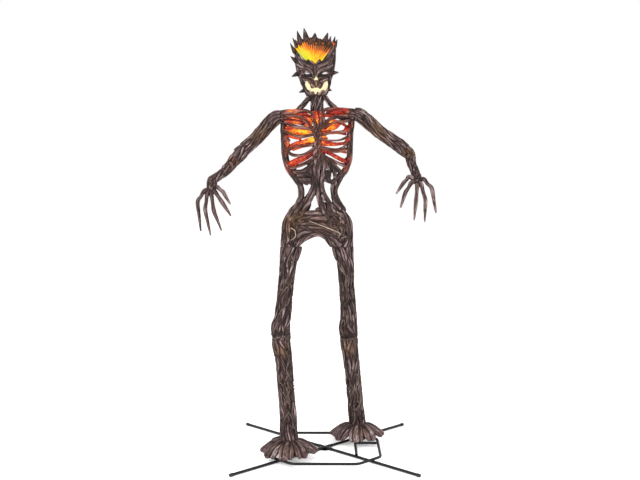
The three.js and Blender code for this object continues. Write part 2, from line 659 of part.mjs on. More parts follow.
function buildShoulderFrame() {
  const [right, left] = SIDES.map(({ shoulder }) => inTrunk(shoulder));
  const top = v3(SPINE_X, 0, SHOULDER_Z);
  const inner = SIDES.map(({ shoulder, sign }) => inTrunk(shoulder).addScaledVector(X, -sign * COLLAR_WIDTH));
  const stub = (p, sign) => {
    const at = (by) => p.clone().addScaledVector(X, sign * by);
    return barBetween(STUB_R, at(-COLLAR_WIDTH - 10), at(STUB_LENGTH));
  };
  const pieces = [
    barBetween(TUBE_R, inner[0], inner[1]),
    stub(right, -1),
    stub(left, 1),
    barBetween(INSERT_R, v3(SPINE_X, 0, SPINE_TOP - 100), top),
    barBetween(TUBE_R, v3(SPINE_X, 0, SPINE_TOP + GAP), top),
    barBetween(INSERT_R, v3(0, 0, SHOULDER_Z), v3(0, 0, MOTOR_Z - GAP)),
  ];
  add(trunk, "shoulder_frame", join(pieces), STEEL);
}

// ---------------------------------------------------------------- neck and its motor
function buildNeck() {
  const column = turned(
    [[NECK_R + 6, NECK_Z - 14], [NECK_R - 6, NECK_Z + 50], [NECK_R + 8, CHIN_Z - 4]],
    [[NECK_R - 14, NECK_Z - 14], [NECK_R - 18, NECK_Z + 50], [NECK_R - 12, CHIN_Z - 4]],
    14,
  );
  const struts = [-1, 1].map((s) => {
    const points = [v3(s * 62, 0, CHIN_Z - 34), v3(s * 128, 0, NECK_Z + 52), v3(s * 196, 0, NECK_Z + 14)];
    return limb(points, [20, 20, 22], 6, 4);
  });
  const bore = bar(NECK_R - 19, 400).translate(0, 0, NECK_Z - 100);
  const floor = block(900, 900, 400, v3(0, 0, NECK_Z - 14 - 200));
  add(trunk, "neck_shell", cut(join([column, ...struts]), [bore, floor]), BARK);

  const body = bar(MOTOR_R, MOTOR_LENGTH, 14);
  const bearing = bar(SHAFT_R + GAP, MOTOR_LENGTH, 10).translate(0, 0, 30);
  add(trunk, "neck_motor", cut(body, [bearing]), BLACK_PLASTIC).position.set(0, 0, MOTOR_Z);
}

// ---------------------------------------------------------------- head
const head = group(root, v3(BODY_X, BODY_Y, CHIN_Z));
const headProfile = (inset) => [
  [HEAD_HALF_WIDTH - 96 - inset, 2],
  [HEAD_HALF_WIDTH - 70 - inset, 40],
  [HEAD_HALF_WIDTH - 32 - inset, 118],
  [HEAD_HALF_WIDTH - 4 - inset, 218],
  [HEAD_HALF_WIDTH - 10 - inset, 330],
  [HEAD_HALF_WIDTH - inset, HEAD_HEIGHT],
];

function spikes() {
  const rim = Array.from({ length: SPIKE_COUNT }, (_, i) => {
    const a = (2 * Math.PI * (i + 0.35)) / SPIKE_COUNT;
    const reach = HEAD_HALF_WIDTH - 10;
    const base = v3(Math.sin(a) * reach, -Math.cos(a) * reach * HEAD_FLAT, HEAD_HEIGHT - 22);
    const tip = v3(base.x * 1.1, base.y * 1.1, HEAD_HEIGHT + SPIKE_LENGTH * (i % 3 === 0 ? 1 : 0.62));
    return { base, tip };
  });
  const sideways = [
    { inset: 36, length: 44, low: 236, high: 214 },
    { inset: 32, length: 69, low: 334, high: 352 },
    { inset: 82, length: 56, low: 58, high: 42 },
  ].flatMap(({ inset, length, low, high }) =>
    [-1, 1].map((s) => {
      const from = HEAD_HALF_WIDTH - inset;
      return { base: v3(s * from, 0, low), tip: v3(s * (from + length), 0, high) };
    }),
  );
  return [...rim, ...sideways].map(({ base, tip }) =>
    aim(bar(SPIKE_R, base.distanceTo(tip), 4, 2), base, tip.clone().sub(base)),
  );
}

// The carved face: two slanted eyes, a nose and a wide grin, and the window in front of the flame.
// Across, an outline is a share of the head's half width.
function faceOpenings() {
  const hole = (points) => {
    const outline = new THREE.Shape(points.map(([x, z]) => new THREE.Vector2(x * HEAD_HALF_WIDTH, z)));
    return new THREE.ExtrudeGeometry(outline, { depth: 300, bevelEnabled: false }).rotateX(Math.PI / 2);
  };
  const mirror = (points) => points.map(([x, z]) => [-x, z]).reverse();
  const eye = [[0.17, 170], [0.57, 186], [0.55, 208], [0.34, 202]];
  const nose = [[-0.1, 118], [0.1, 118], [0, 158]];
  const lip = [[0.59, 128], [0.36, 96], [0.2, 66]];
  const jaw = [[-0.59, 128], [-0.46, 60], [-0.165, 22]];
  const grin = [...jaw, ...mirror(jaw).slice(0, 2), ...lip, ...mirror(lip).slice(0, 2)];
  const rim = HEAD_HEIGHT - 22;
  const flame = [[-0.35, FLAME_LOW], [0.35, FLAME_LOW], [0.76, rim], [-0.76, rim]];
  return [eye, mirror(eye), nose, grin, flame].map(hole);
}

const HEAD_SIDES = 12;
const GUIDE_INSET = 20; // outside of the head to the light guide
const LAMP_Z = 162; // chin to the foot of the head lamp
const SHAFT_IN_MOTOR = 40;
function buildHead() {
  const outside = turned(headProfile(0), headProfile(SHELL_WALL + 2), HEAD_SIDES).scale(1, HEAD_FLAT, 1);
  const above = HEAD_HEIGHT + 200;
  const inset = SHELL_WALL + 2;
  const bore = [[HEAD_HALF_WIDTH - 122, -40], ...headProfile(inset), [HEAD_HALF_WIDTH - inset, above]];
  const inside = turned(bore, [[0, -40], [0, above]], HEAD_SIDES).scale(1, HEAD_FLAT, 1);
  const whole = cut(join([outside, ...spikes()]), [inside]);
  const floor = turned(
    [[HEAD_HALF_WIDTH - 98, 2], [HEAD_HALF_WIDTH - 92, 12]],
    [[SHAFT_R + 16, 2], [SHAFT_R + 16, 12]],
    HEAD_SIDES,
  );
  const skull = join([whole, floor.scale(1, HEAD_FLAT, 1)]);
  const half = (face) => block(900, 500, 900, v3(0, face * (250 + GAP / 2), HEAD_HEIGHT / 2));
  add(head, "skull_front", cut(keep(skull, half(-1)), faceOpenings()), BARK);
  add(head, "skull_back", keep(skull, half(1)), BARK);

  // Translucent flame cup inside the crown, closed on top.
  const cupR = HEAD_HALF_WIDTH - 28;
  const wall = [[cupR - 24, FLAME_LOW - 14], [cupR - 8, FLAME_LOW + 30]];
  const top = [[cupR, HEAD_HEIGHT - 26], [cupR - 50, HEAD_HEIGHT - 4], [0, HEAD_HEIGHT + 2]];
  const topInside = [[cupR - 4, HEAD_HEIGHT - 29], [cupR - 52, HEAD_HEIGHT - 8], [0, HEAD_HEIGHT - 3]];
  const wallInside = wall.map(([r, z]) => [r - 4, z]);
  const cup = turned([...wall, ...top], [...wallInside, ...topInside], 12);
  add(head, "crown_flame_cup", cup.scale(1, HEAD_FLAT, 1), FLAME);

  // Pale light guide behind the carved face.
  const guide = turned(headProfile(GUIDE_INSET), headProfile(GUIDE_INSET + 4), HEAD_SIDES);
  const guideTop = FLAME_LOW - 38;
  const face = block(600, 300, guideTop - 20, v3(0, -180, guideTop / 2 + 10));
  add(head, "face_light_guide", keep(guide.scale(1, HEAD_FLAT, 1), face), GLOW);

  const disc = bar(SHAFT_R + 30, 6, 12).translate(0, 0, 12 + GAP);
  const mast = bar(SHAFT_R, LAMP_Z - GAP + SHAFT_IN_MOTOR, 10).translate(0, 0, -SHAFT_IN_MOTOR);
  add(head, "head_shaft", join([disc, mast]), ZINC);
  const lampCup = cut(bar(34, 44, 12), [bar(28, 44, 12).translate(0, 0, 8)]);
  add(head, "head_lamp", lampCup, BLACK_PLASTIC).position.set(0, 0, LAMP_Z);
}

// ---------------------------------------------------------------- lamps, control box and lead
function buildElectrics() {
  const lampAt = (name, z) => {
    const clamp = cut(bar(TUBE_R + 8, 40, 12), [bar(TUBE_R + GAP, 40, 12)]);
    const body = block(90, 16, 60, v3(0, -TUBE_R - 14, 20));
    const lamp = cut(join([clamp, body]), [bar(TUBE_R + GAP, 60, 12)]);
    add(trunk, name, lamp, BLACK_PLASTIC).position.set(SPINE_X, 0, z);
  };
  lampAt("chest_lamp_lower", CHEST_Z + 0.3 * CHEST_HEIGHT);
  lampAt("chest_lamp_upper", CHEST_Z + 0.66 * CHEST_HEIGHT);

  const box = group(trunk, v3(SPINE_X, BOX_Y, BOX_Z));
  const { width, depth, height, wall } = BOX;
  const rim = 20; // frame left round the battery opening
  const openWidth = width - 2 * rim;
  const openHeight = height - 2 * rim;
  const shell = cut(block(width, depth, height, v3(0, depth / 2, 0)), [
    block(openWidth, depth, openHeight, v3(0, depth / 2 + wall, 0)),
    bar(BUTTON_CAP_R + GAP, 30, 12).translate(width / 2 - 10, depth / 2, height / 2 - 12),
    bar(LEAD_R + 2, 2 * wall, 8).rotateX(-Math.PI / 2).translate(0, -1, 0),
    bar(INLET_R, 2 * wall + 20, 8).translate(-width / 4, depth / 2, -height / 2 - 1),
  ]);
  add(box, "control_box", shell, BLACK_PLASTIC);
  const door = block(openWidth + 12, DOOR_T, openHeight + 12, v3(0, DOOR_T / 2, 0));
  add(box, "battery_door", door, BLACK_PLASTIC).position.set(0, depth + GAP, 0);
  const crown = bar(BUTTON_CAP_R - 1, 3, 12, BUTTON_CAP_R - 2).translate(0, 0, 14);
  const button = add(box, "mode_button", join([bar(BUTTON_CAP_R, 14, 12), crown]), ZINC);
  button.position.set(width / 2 - 10, depth / 2, height / 2 - 9);

  const leadY = TUBE_R + LEAD_R + 9;
  const route = [
    v3(SPINE_X, BOX_Y + wall + 4, BOX_Z),
    v3(SPINE_X, BOX_Y - 30, BOX_Z),
    v3(SPINE_X, leadY + 12, BOX_Z + 50),
    v3(SPINE_X, leadY, WAIST_Z - 60),
    v3(SPINE_X, leadY, CHEST_Z),
    v3(SPINE_X, leadY, SHOULDER_Z - 60),
  ];
  const lead = limb(route, [LEAD_R, LEAD_R], 6, 15);
  add(trunk, "lamp_lead", lead, BLACK_PLASTIC);
}

// ---------------------------------------------------------------- arms
function buildArm(side) {
  const { shoulder, bend, elbow, wrist, sign } = side;
  const arm = group(root, shoulder);
  const start = v3(sign * GAP, 0, 0);
  const upper = elbow.clone().sub(bend).normalize();
  const inArm = (p, by) => p.clone().addScaledVector(upper, by);

  const under = bend.clone().multiplyScalar(0.6);
  const path = [v3(-sign * 20, 0, 0), under, bend.clone().lerp(elbow, 0.35), inArm(elbow, 20)];
  const radii = [SHOULDER_R, SHOULDER_R, ARM_R, ELBOW_R];
  const outer = limb(path, radii, 8, 6);
  const inner = limb(path, radii.map((r) => r - ARM_WALL), 8, 6);
  const seam = block(200, 400, 400, v3(-sign * (100 - GAP), 0, 0));
  const end = aim(block(400, 400, 200, v3(0, 0, 100)), inArm(elbow, -GAP), upper);
  add(arm, `upper_arm_shell_${side.name}`, cut(outer, [inner, seam, end]), BARK);

  const socket = barBetween(TUBE_R + 4, v3(sign * 6, 0, 0), v3(sign * (STUB_LENGTH + 12), 0, 0));
  const socketBore = barBetween(STUB_R + GAP, v3(0, 0, 0), v3(sign * (STUB_LENGTH + 1), 0, 0));
  const tube = barBetween(TUBE_R, bend.clone().multiplyScalar(0.7), inArm(elbow, -30));
  const tip = barBetween(STUB_R, inArm(elbow, -60), inArm(elbow, 34));
  add(arm, `upper_arm_pole_${side.name}`, cut(join([socket, tube, tip]), [socketBore]), STEEL);

  // The forearm starts at the elbow seam, bends there, and runs forward to the wrist.
  const fore = group(arm, elbow);
  const forward = wrist.clone().normalize();
  const along = (by) => wrist.clone().addScaledVector(forward, by);
  const turnPoint = upper.clone().multiplyScalar(58);
  const sleeve = limb(
    [upper.clone().multiplyScalar(GAP), turnPoint, turnPoint.clone().lerp(wrist, 0.45), along(-GAP)],
    [ELBOW_R, ELBOW_R - 4, 44, WRIST_R],
    8,
    5,
  );
  const up = (by) => upper.clone().multiplyScalar(by);
  const elbowBore = barBetween(STUB_R + GAP, up(-5), up(40));
  const wristBore = barBetween(STUB_R + GAP, along(-46), along(5));
  const below = aim(block(400, 400, 200, v3(0, 0, -100)), upper.clone().multiplyScalar(GAP), upper);
  const beyond = aim(block(400, 400, 200, v3(0, 0, 100)), along(-GAP), forward);
  add(fore, `forearm_shell_${side.name}`, cut(sleeve, [elbowBore, wristBore, below, beyond]), BARK);
  const pin = barBetween(STUB_R, along(-40), along(40));
  add(fore, `wrist_pin_${side.name}`, pin, STEEL);

  const hand = group(fore, wrist);
  const knuckles = side.fingers.map(([first]) => first);
  const centre = knuckles.reduce((sum, p) => sum.add(p), v3(0, 0, 0)).multiplyScalar(0.8 / knuckles.length);
  const palmPath = [forward.clone().multiplyScalar(GAP), centre.clone().multiplyScalar(0.55), centre];
  const palm = limb(palmPath, [WRIST_R, PALM_R, PALM_R - 8], 8, 2);
  const fingers = side.fingers.map((points) => {
    const path = [centre.clone().lerp(points[0], 0.15), ...points];
    return limb(path, [FINGER_R + 4, FINGER_R + 2, FINGER_R, TIP_R], 5, 4);
  });
  const ahead = (by) => forward.clone().multiplyScalar(by);
  const bore = barBetween(STUB_R + GAP, ahead(-5), ahead(46));
  const behind = aim(block(300, 300, 200, v3(0, 0, -100)), forward.clone().multiplyScalar(GAP), forward);
  add(hand, `hand_${side.name}`, cut(join([palm, ...fingers]), [bore, behind]), BARK);
}

for (const side of SIDES) {
  const foot = buildFootFrame(side);
  buildLeg(side, foot);
}
buildPelvisFrame();
buildPelvisShell();
buildAbdomen();
buildChest();
buildShoulderFrame();
buildNeck();
buildHead();
buildElectrics();
SIDES.forEach(buildArm);

export default root;
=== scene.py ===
import json
import math

import bmesh
import bpy
import numpy as np
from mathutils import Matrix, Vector


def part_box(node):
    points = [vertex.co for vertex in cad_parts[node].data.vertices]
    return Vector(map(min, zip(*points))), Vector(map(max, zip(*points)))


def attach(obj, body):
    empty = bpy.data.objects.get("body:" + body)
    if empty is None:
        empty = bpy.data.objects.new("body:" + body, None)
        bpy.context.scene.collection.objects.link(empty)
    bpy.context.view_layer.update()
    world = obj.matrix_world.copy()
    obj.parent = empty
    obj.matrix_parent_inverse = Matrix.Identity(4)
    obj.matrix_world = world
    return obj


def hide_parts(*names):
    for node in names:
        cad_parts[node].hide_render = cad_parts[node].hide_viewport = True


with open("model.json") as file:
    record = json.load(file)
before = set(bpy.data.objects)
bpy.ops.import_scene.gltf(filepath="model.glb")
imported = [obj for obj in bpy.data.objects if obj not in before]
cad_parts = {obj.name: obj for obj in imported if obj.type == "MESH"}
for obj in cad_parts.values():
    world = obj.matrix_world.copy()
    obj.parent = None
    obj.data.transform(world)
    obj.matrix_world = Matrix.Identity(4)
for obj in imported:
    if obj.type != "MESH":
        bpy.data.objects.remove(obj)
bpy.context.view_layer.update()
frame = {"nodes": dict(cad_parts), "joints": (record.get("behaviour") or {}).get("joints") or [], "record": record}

# Lengths are in millimetres until a mesh is made. The figure faces -Y and its right side is at -X.
MM = 0.001
COARSE = 1.0


# ---------------------------------------------------------------- places taken from the frame
def low(node):
    return np.array(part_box(node)[0]) / MM


def ring_centre(node, top):
    """The centre of a node's highest or lowest ring of corners."""
    corners = np.array([v.co for v in frame["nodes"][node].data.vertices]) / MM
    level = corners[:, 2].max() if top else corners[:, 2].min()
    ring = np.unique(corners[abs(corners[:, 2] - level) < 2].round(1), axis=0)
    return ring.mean(0)


JOINTS = {joint["name"]: joint for joint in frame["joints"]}


def joint_at(name):
    return np.array(JOINTS[name]["pos_m"]) / MM


def joint_axis(name):
    return unit(JOINTS[name]["axis"])


def unit(v):
    v = np.asarray(v, float)
    return v / np.linalg.norm(v)


TRUNK = joint_at("head_turn")
SOLE = low("foot_shell_right")[2]
HIPS = low("pelvis_shell")[2]
WAIST = low("abdomen_lattice")[2]
CHEST = low("ribcage_front")[2]
CHIN = TRUNK[2]
SIDES = ("right", "left")
OUTWARD = {"right": -1, "left": 1}
UP = np.array([0.0, 0.0, 1.0])
SEAM = 0.2  # from a fixed shell's end to its bark's
JOINT_SEAM = 0.4  # the same at a joint


# ---------------------------------------------------------------- noise
def hashed(i, j, k, seed):
    h = (i * 73856093) ^ (j * 19349663) ^ (k * 83492791) ^ (seed * 2654435761 + 97)
    h &= 0xFFFFFFFF
    h = ((h ^ (h >> 15)) * 2246822519) & 0xFFFFFFFF
    h = ((h ^ (h >> 13)) * 3266489917) & 0xFFFFFFFF
    return ((h ^ (h >> 16)) & 0xFFFF) / 65535.0


def noise(p, seed=0):
    """Smooth noise from 0 to 1 at each point, with features one unit across."""
    base = np.floor(p).astype(np.int64)
    f = p - base
    f = f * f * (3 - 2 * f)
    total = np.zeros(len(p))
    for corner in range(8):
        step = np.array([corner & 1, corner >> 1 & 1, corner >> 2 & 1])
        weight = np.prod(np.where(step, f, 1 - f), axis=1)
        i, j, k = (base + step).T
        total += weight * hashed(i, j, k, seed)
    return total


def ridges(p, seed=0):
    """Noise folded into sharp crests, from 0 in the grooves to 1 on the crests."""
    return 1 - abs(2 * noise(p, seed) - 1)


# ---------------------------------------------------------------- strands
def smooth_path(points, radii, step):
    """A smooth curve through points, sampled about every step: centres, radii, distances along it."""
    p = np.asarray(points, float)
    radii = np.atleast_1d(np.asarray(radii, float))
    r = np.interp(np.linspace(0, 1, len(p)), np.linspace(0, 1, len(radii)), radii)
    q = np.column_stack([p, r])
    q = np.vstack([2 * q[0] - q[1], q, 2 * q[-1] - q[-2]])
    t = np.linspace(0, 1, 10, endpoint=False)[:, None]
    parts = [
        0.5 * (2 * b + (c - a) * t + (2 * a - 5 * b + 4 * c - d) * t**2 + (3 * b - a - 3 * c + d) * t**3)
        for a, b, c, d in zip(q[:-3], q[1:-2], q[2:-1], q[3:])
    ]
    dense = np.vstack(parts + [q[-2:-1]])
    s = np.concatenate([[0], np.cumsum(np.linalg.norm(np.diff(dense[:, :3], axis=0), axis=1))])
    at = np.linspace(0, s[-1], max(int(s[-1] / step), 3) + 1)
    out = np.column_stack([np.interp(at, s, dense[:, k]) for k in range(4)])
    return out[:, :3], np.maximum(out[:, 3], 1), at


def frames(centres):
    """Tangent and two crosswise directions at each centre, turning as little as possible."""
    t = np.gradient(centres, axis=0)
    t /= np.linalg.norm(t, axis=1)[:, None]
    u = np.empty_like(t)
    side = np.array([0.0, 1.0, 0.0]) if abs(t[0][1]) < 0.9 else np.array([1.0, 0.0, 0.0])
    for i, along in enumerate(t):
        side = side - along * side.dot(along)
        side /= np.linalg.norm(side)
        u[i] = side
    return t, u, np.cross(t, u)


def closed_body(rings):
    """Corner points and triangles of the closed body through rings of corners."""
    count, sides = rings.shape[:2]
    i = np.arange(count - 1)[:, None] * sides
    j = np.arange(sides)[None]
    k = (j + 1) % sides
    a0, a1, b0, b1 = (x.ravel() for x in (i + j, i + k, i + sides + j, i + sides + k))
    around, after = j[0], k[0]
    bottom, end = count * sides, (count - 1) * sides
    triangles = [
        np.column_stack([a0, a1, b1]),
        np.column_stack([a0, b1, b0]),
        np.column_stack([after, around, np.full(sides, bottom)]),
        np.column_stack([end + around, end + after, np.full(sides, bottom + 1)]),
    ]
    tips = np.array([rings[0].mean(0), rings[-1].mean(0)])
    return np.vstack([rings.reshape(-1, 3), tips]), np.concatenate(triangles)


class Strand:
    """A root: a tapering tube along a curve.

    tone lightens it, vine marks a thin tan one, and heat makes it glow.
    """

    def __init__(self, points, radii, tone=0.0, vine=0.0, heat=0.0, step=7.0, ends=True):
        self.centres, self.radii, self.along = smooth_path(points, radii, step)
        self.t, self.u, self.v = frames(self.centres)
        self.tone, self.vine, self.ends = tone, vine, ends
        heat = np.atleast_1d(heat)
        self.heat = np.interp(np.linspace(0, 1, len(self.radii)), np.linspace(0, 1, len(heat)), heat)

    def tube(self, sides):
        """Corner points and triangles of the closed tube."""
        a = np.arange(sides) * 2 * math.pi / sides
        across = np.cos(a)[None, :, None] * self.u[:, None] + np.sin(a)[None, :, None] * self.v[:, None]
        offsets = across * self.radii[:, None, None]
        rings = self.centres[:, None] + offsets
        round_end = [(0.62, 0.78), (0.92, 0.4)] if self.ends else []
        first = [
            self.centres[0] - self.t[0] * self.radii[0] * d + offsets[0] * k for d, k in reversed(round_end)
        ]
        last = [self.centres[-1] + self.t[-1] * self.radii[-1] * d + offsets[-1] * k for d, k in round_end]
        parts = [np.array(first).reshape(-1, sides, 3), rings, np.array(last).reshape(-1, sides, 3)]
        return closed_body(np.concatenate(parts))


def lean(z):
    """How far the head's middle stands to the side of the neck's, at a height above the chin."""
    return -10 * np.clip((np.asarray(z, float) - 60) / 120, 0, 1)


def loft(levels, sides=40):
    """A closed body through level ovals about the head's centre.

    Each level is a height, a half width, a front depth and a back depth.
    """
    rows = []
    a = np.arange(sides) * 2 * math.pi / sides
    for z, wide, front, back in levels:
        x = np.sign(np.sin(a)) * abs(np.sin(a)) ** 0.9 * wide
        y = np.where(np.cos(a) > 0, -np.cos(a) * front, -np.cos(a) * back)
        rows.append(np.column_stack([TRUNK[0] + lean(z) + x, TRUNK[1] + y, np.full(sides, CHIN + z)]))
    return closed_body(np.array(rows))


def wrapped(path, radii, count, thick, turns=0.3, seed=0, vines=2, partial=0.4, core=True):
    """A limb: a core along a path, and roots of about that thickness laid round it."""
    rng = np.random.default_rng(seed)
    centres, outer, along = smooth_path(path, radii, 12)
    t, u, v = frames(centres)
    length = along[-1]
    inner = np.maximum(outer - 1.15 * thick, 4)
    out = []
    if core:
        out.append(Strand(centres[::3], inner[::3], tone=-0.4))

    def laid(angle, width, sink, start, stop, **look):
        keep = (along >= start * length) & (along <= stop * length)
        if keep.sum() < 4:
            return
        reach = (outer - width * sink)[keep, None]
        direction = np.cos(angle)[keep, None] * u[keep] + np.sin(angle)[keep, None] * v[keep]
        out.append(Strand((centres[keep] + reach * direction)[::2], width[keep][::2], **look))

    for i in range(count):
        wave = rng.uniform(0, 2 * math.pi, 4)
        slow = 0.24 * np.sin(along / rng.uniform(60, 110) + wave[0])
        sway = slow + 0.12 * np.sin(along / rng.uniform(25, 45) + wave[1])
        set_out = 2 * math.pi * (i + rng.uniform(-0.2, 0.2)) / count
        angle = set_out + 2 * math.pi * turns * along / length + sway
        width = thick * rng.uniform(0.72, 1.25) * (1 + 0.22 * np.sin(along / rng.uniform(40, 80) + wave[2]))
        start = rng.uniform(0.05, 0.35) if rng.random() < partial else 0
        stop = rng.uniform(0.6, 0.92) if rng.random() < partial else 1
        ease = np.clip(np.minimum(along / length - start, stop - along / length) / 0.1, 0, 1)
        taper = np.where((start > 0) | (stop < 1), 0.35 + 0.65 * ease, 1)
        laid(angle, width * taper, 0.95, start, stop, tone=rng.uniform(-0.5, 0.5))
    for i in range(vines):
        angle = rng.uniform(0, 2 * math.pi) + rng.choice([-1, 1]) * along / rng.uniform(160, 420)
        angle = angle + 0.25 * np.sin(along / 37 + i)
        start = rng.uniform(0, 0.6)
        width = np.full(len(along), 0.28 * thick)
        laid(angle, width, -0.15, start, min(start + rng.uniform(0.25, 0.5), 1), vine=rng.uniform(0.4, 0.9))
    return out


# ---------------------------------------------------------------- from strands to one carved body
def linked(name, data):
    """A new object with that data, in the scene."""
    made = bpy.data.objects.new(name, data)
    bpy.context.scene.collection.objects.link(made)
    return made


def union(name, tubes, voxel):
    """One outer skin over all the tubes."""
    points, faces, start = [], [], 0
    for corners, triangles in tubes:
        points.append(corners)
        faces.append(triangles + start)
        start += len(corners)
    mesh = bpy.data.meshes.new(name + "_tubes")
    mesh.from_pydata((np.vstack(points) * MM).tolist(), [], np.vstack(faces).tolist())
    made = linked(name + "_tubes", mesh)
    modifier = made.modifiers.new("skin", "REMESH")
    modifier.mode = "VOXEL"
    modifier.voxel_size = voxel * MM
    skin = bpy.data.meshes.new_from_object(made.evaluated_get(bpy.context.evaluated_depsgraph_get()))
    bpy.data.objects.remove(made)
    bpy.data.meshes.remove(mesh)
    skin.name = name
    return skin


def trimmed(mesh, cuts):
    """Cuts away what lies beyond each plane and closes the cut.

    A plane is given by a point and the direction that goes.
    """
    body = bmesh.new()
    body.from_mesh(mesh)
    for point, direction in cuts:
        parts = body.verts[:] + body.edges[:] + body.faces[:]
        result = bmesh.ops.bisect_plane(
            body, geom=parts, plane_co=Vector(np.asarray(point) * MM), plane_no=Vector(direction),
            clear_outer=True, dist=1e-6
        )
        edges = [
            e for e in result["geom_cut"] if isinstance(e, bmesh.types.BMEdge) and e.is_valid
            and e.is_boundary
        ]
        for edge in edges:
            edge.smooth = False
        bmesh.ops.edgeloop_fill(body, edges=edges)
    for face in body.faces:
        face.smooth = len(face.verts) <= 5
    body.to_mesh(mesh)
    body.free()
    return mesh


class Surface:
    """The points of a mesh as arrays, with its edges for smoothing."""

    def __init__(self, mesh):
        self.mesh = mesh
        count = len(mesh.vertices)
        self.p = np.empty(count * 3)
        mesh.vertices.foreach_get("co", self.p)
        self.p = self.p.reshape(-1, 3) / MM
        edges = np.empty(len(mesh.edges) * 2, np.int32)
        mesh.edges.foreach_get("vertices", edges)
        self.edges = edges.reshape(-1, 2)
        self.degree = np.bincount(self.edges.ravel(), minlength=count)[:, None]

    def mean(self, values):
        a, b = self.edges.T
        n = len(values)
        total = np.column_stack(
            [
                np.bincount(a, values[b, k], n) + np.bincount(b, values[a, k], n)
                for k in range(values.shape[1])
            ]
        )
        return total / np.maximum(self.degree, 1)

    def relaxed(self, times, share=0.5, values=None):
        values = self.p.copy() if values is None else values
        for _ in range(times):
            values += share * (self.mean(values) - values)
        return values

    def normals(self):
        self.store()
        out = np.empty(len(self.p) * 3, np.float32)
        self.mesh.vertex_normals.foreach_get("vector", out)
        return out.reshape(-1, 3).astype(float)

    def store(self):
        self.mesh.vertices.foreach_set("co", (self.p * MM).astype(np.float32).ravel())
        self.mesh.update()

    def attribute(self, name, values):
        kind, field = ("FLOAT_VECTOR", "vector") if values.ndim == 2 else ("FLOAT", "value")
        self.mesh.attributes.new(name, kind, "POINT").data.foreach_set(
            field, values.astype(np.float32).ravel()
        )


def nearest(points, strands, reach=140):
    """For each point: the nearest strand's sample, its surface's distance, and how much farther the next."""
    centres = np.vstack([s.centres for s in strands])
    radii = np.concatenate([s.radii for s in strands])
    owner = np.concatenate([np.full(len(s.radii), i) for i, s in enumerate(strands)])
    found = np.zeros(len(points), int)
    gap = np.zeros(len(points))
    margin = np.zeros(len(points))
    order = np.argsort(points[:, 2])
    for start in range(0, len(order), 2500):
        rows = order[start : start + 2500]
        here = points[rows]
        near = np.flatnonzero((centres[:, 2] > here[0, 2] - reach) & (centres[:, 2] < here[-1, 2] + reach))
        if len(near) == 0:
            near = np.arange(len(centres))
        middle = here.mean(0)
        a = (here - middle).astype(np.float32)
        b = (centres[near] - middle).astype(np.float32)
        square = (a * a).sum(1)[:, None] + (b * b).sum(1)[None] - 2 * a @ b.T
        away = np.sqrt(np.maximum(square, 0)) - radii[near].astype(np.float32)[None]
        pick = away.argmin(1)
        found[rows] = near[pick]
        gap[rows] = away[np.arange(len(rows)), pick]
        away[owner[near][None] == owner[near[pick]][:, None]] = 1e6
        margin[rows] = away.min(1) - gap[rows]
    return found, gap, margin


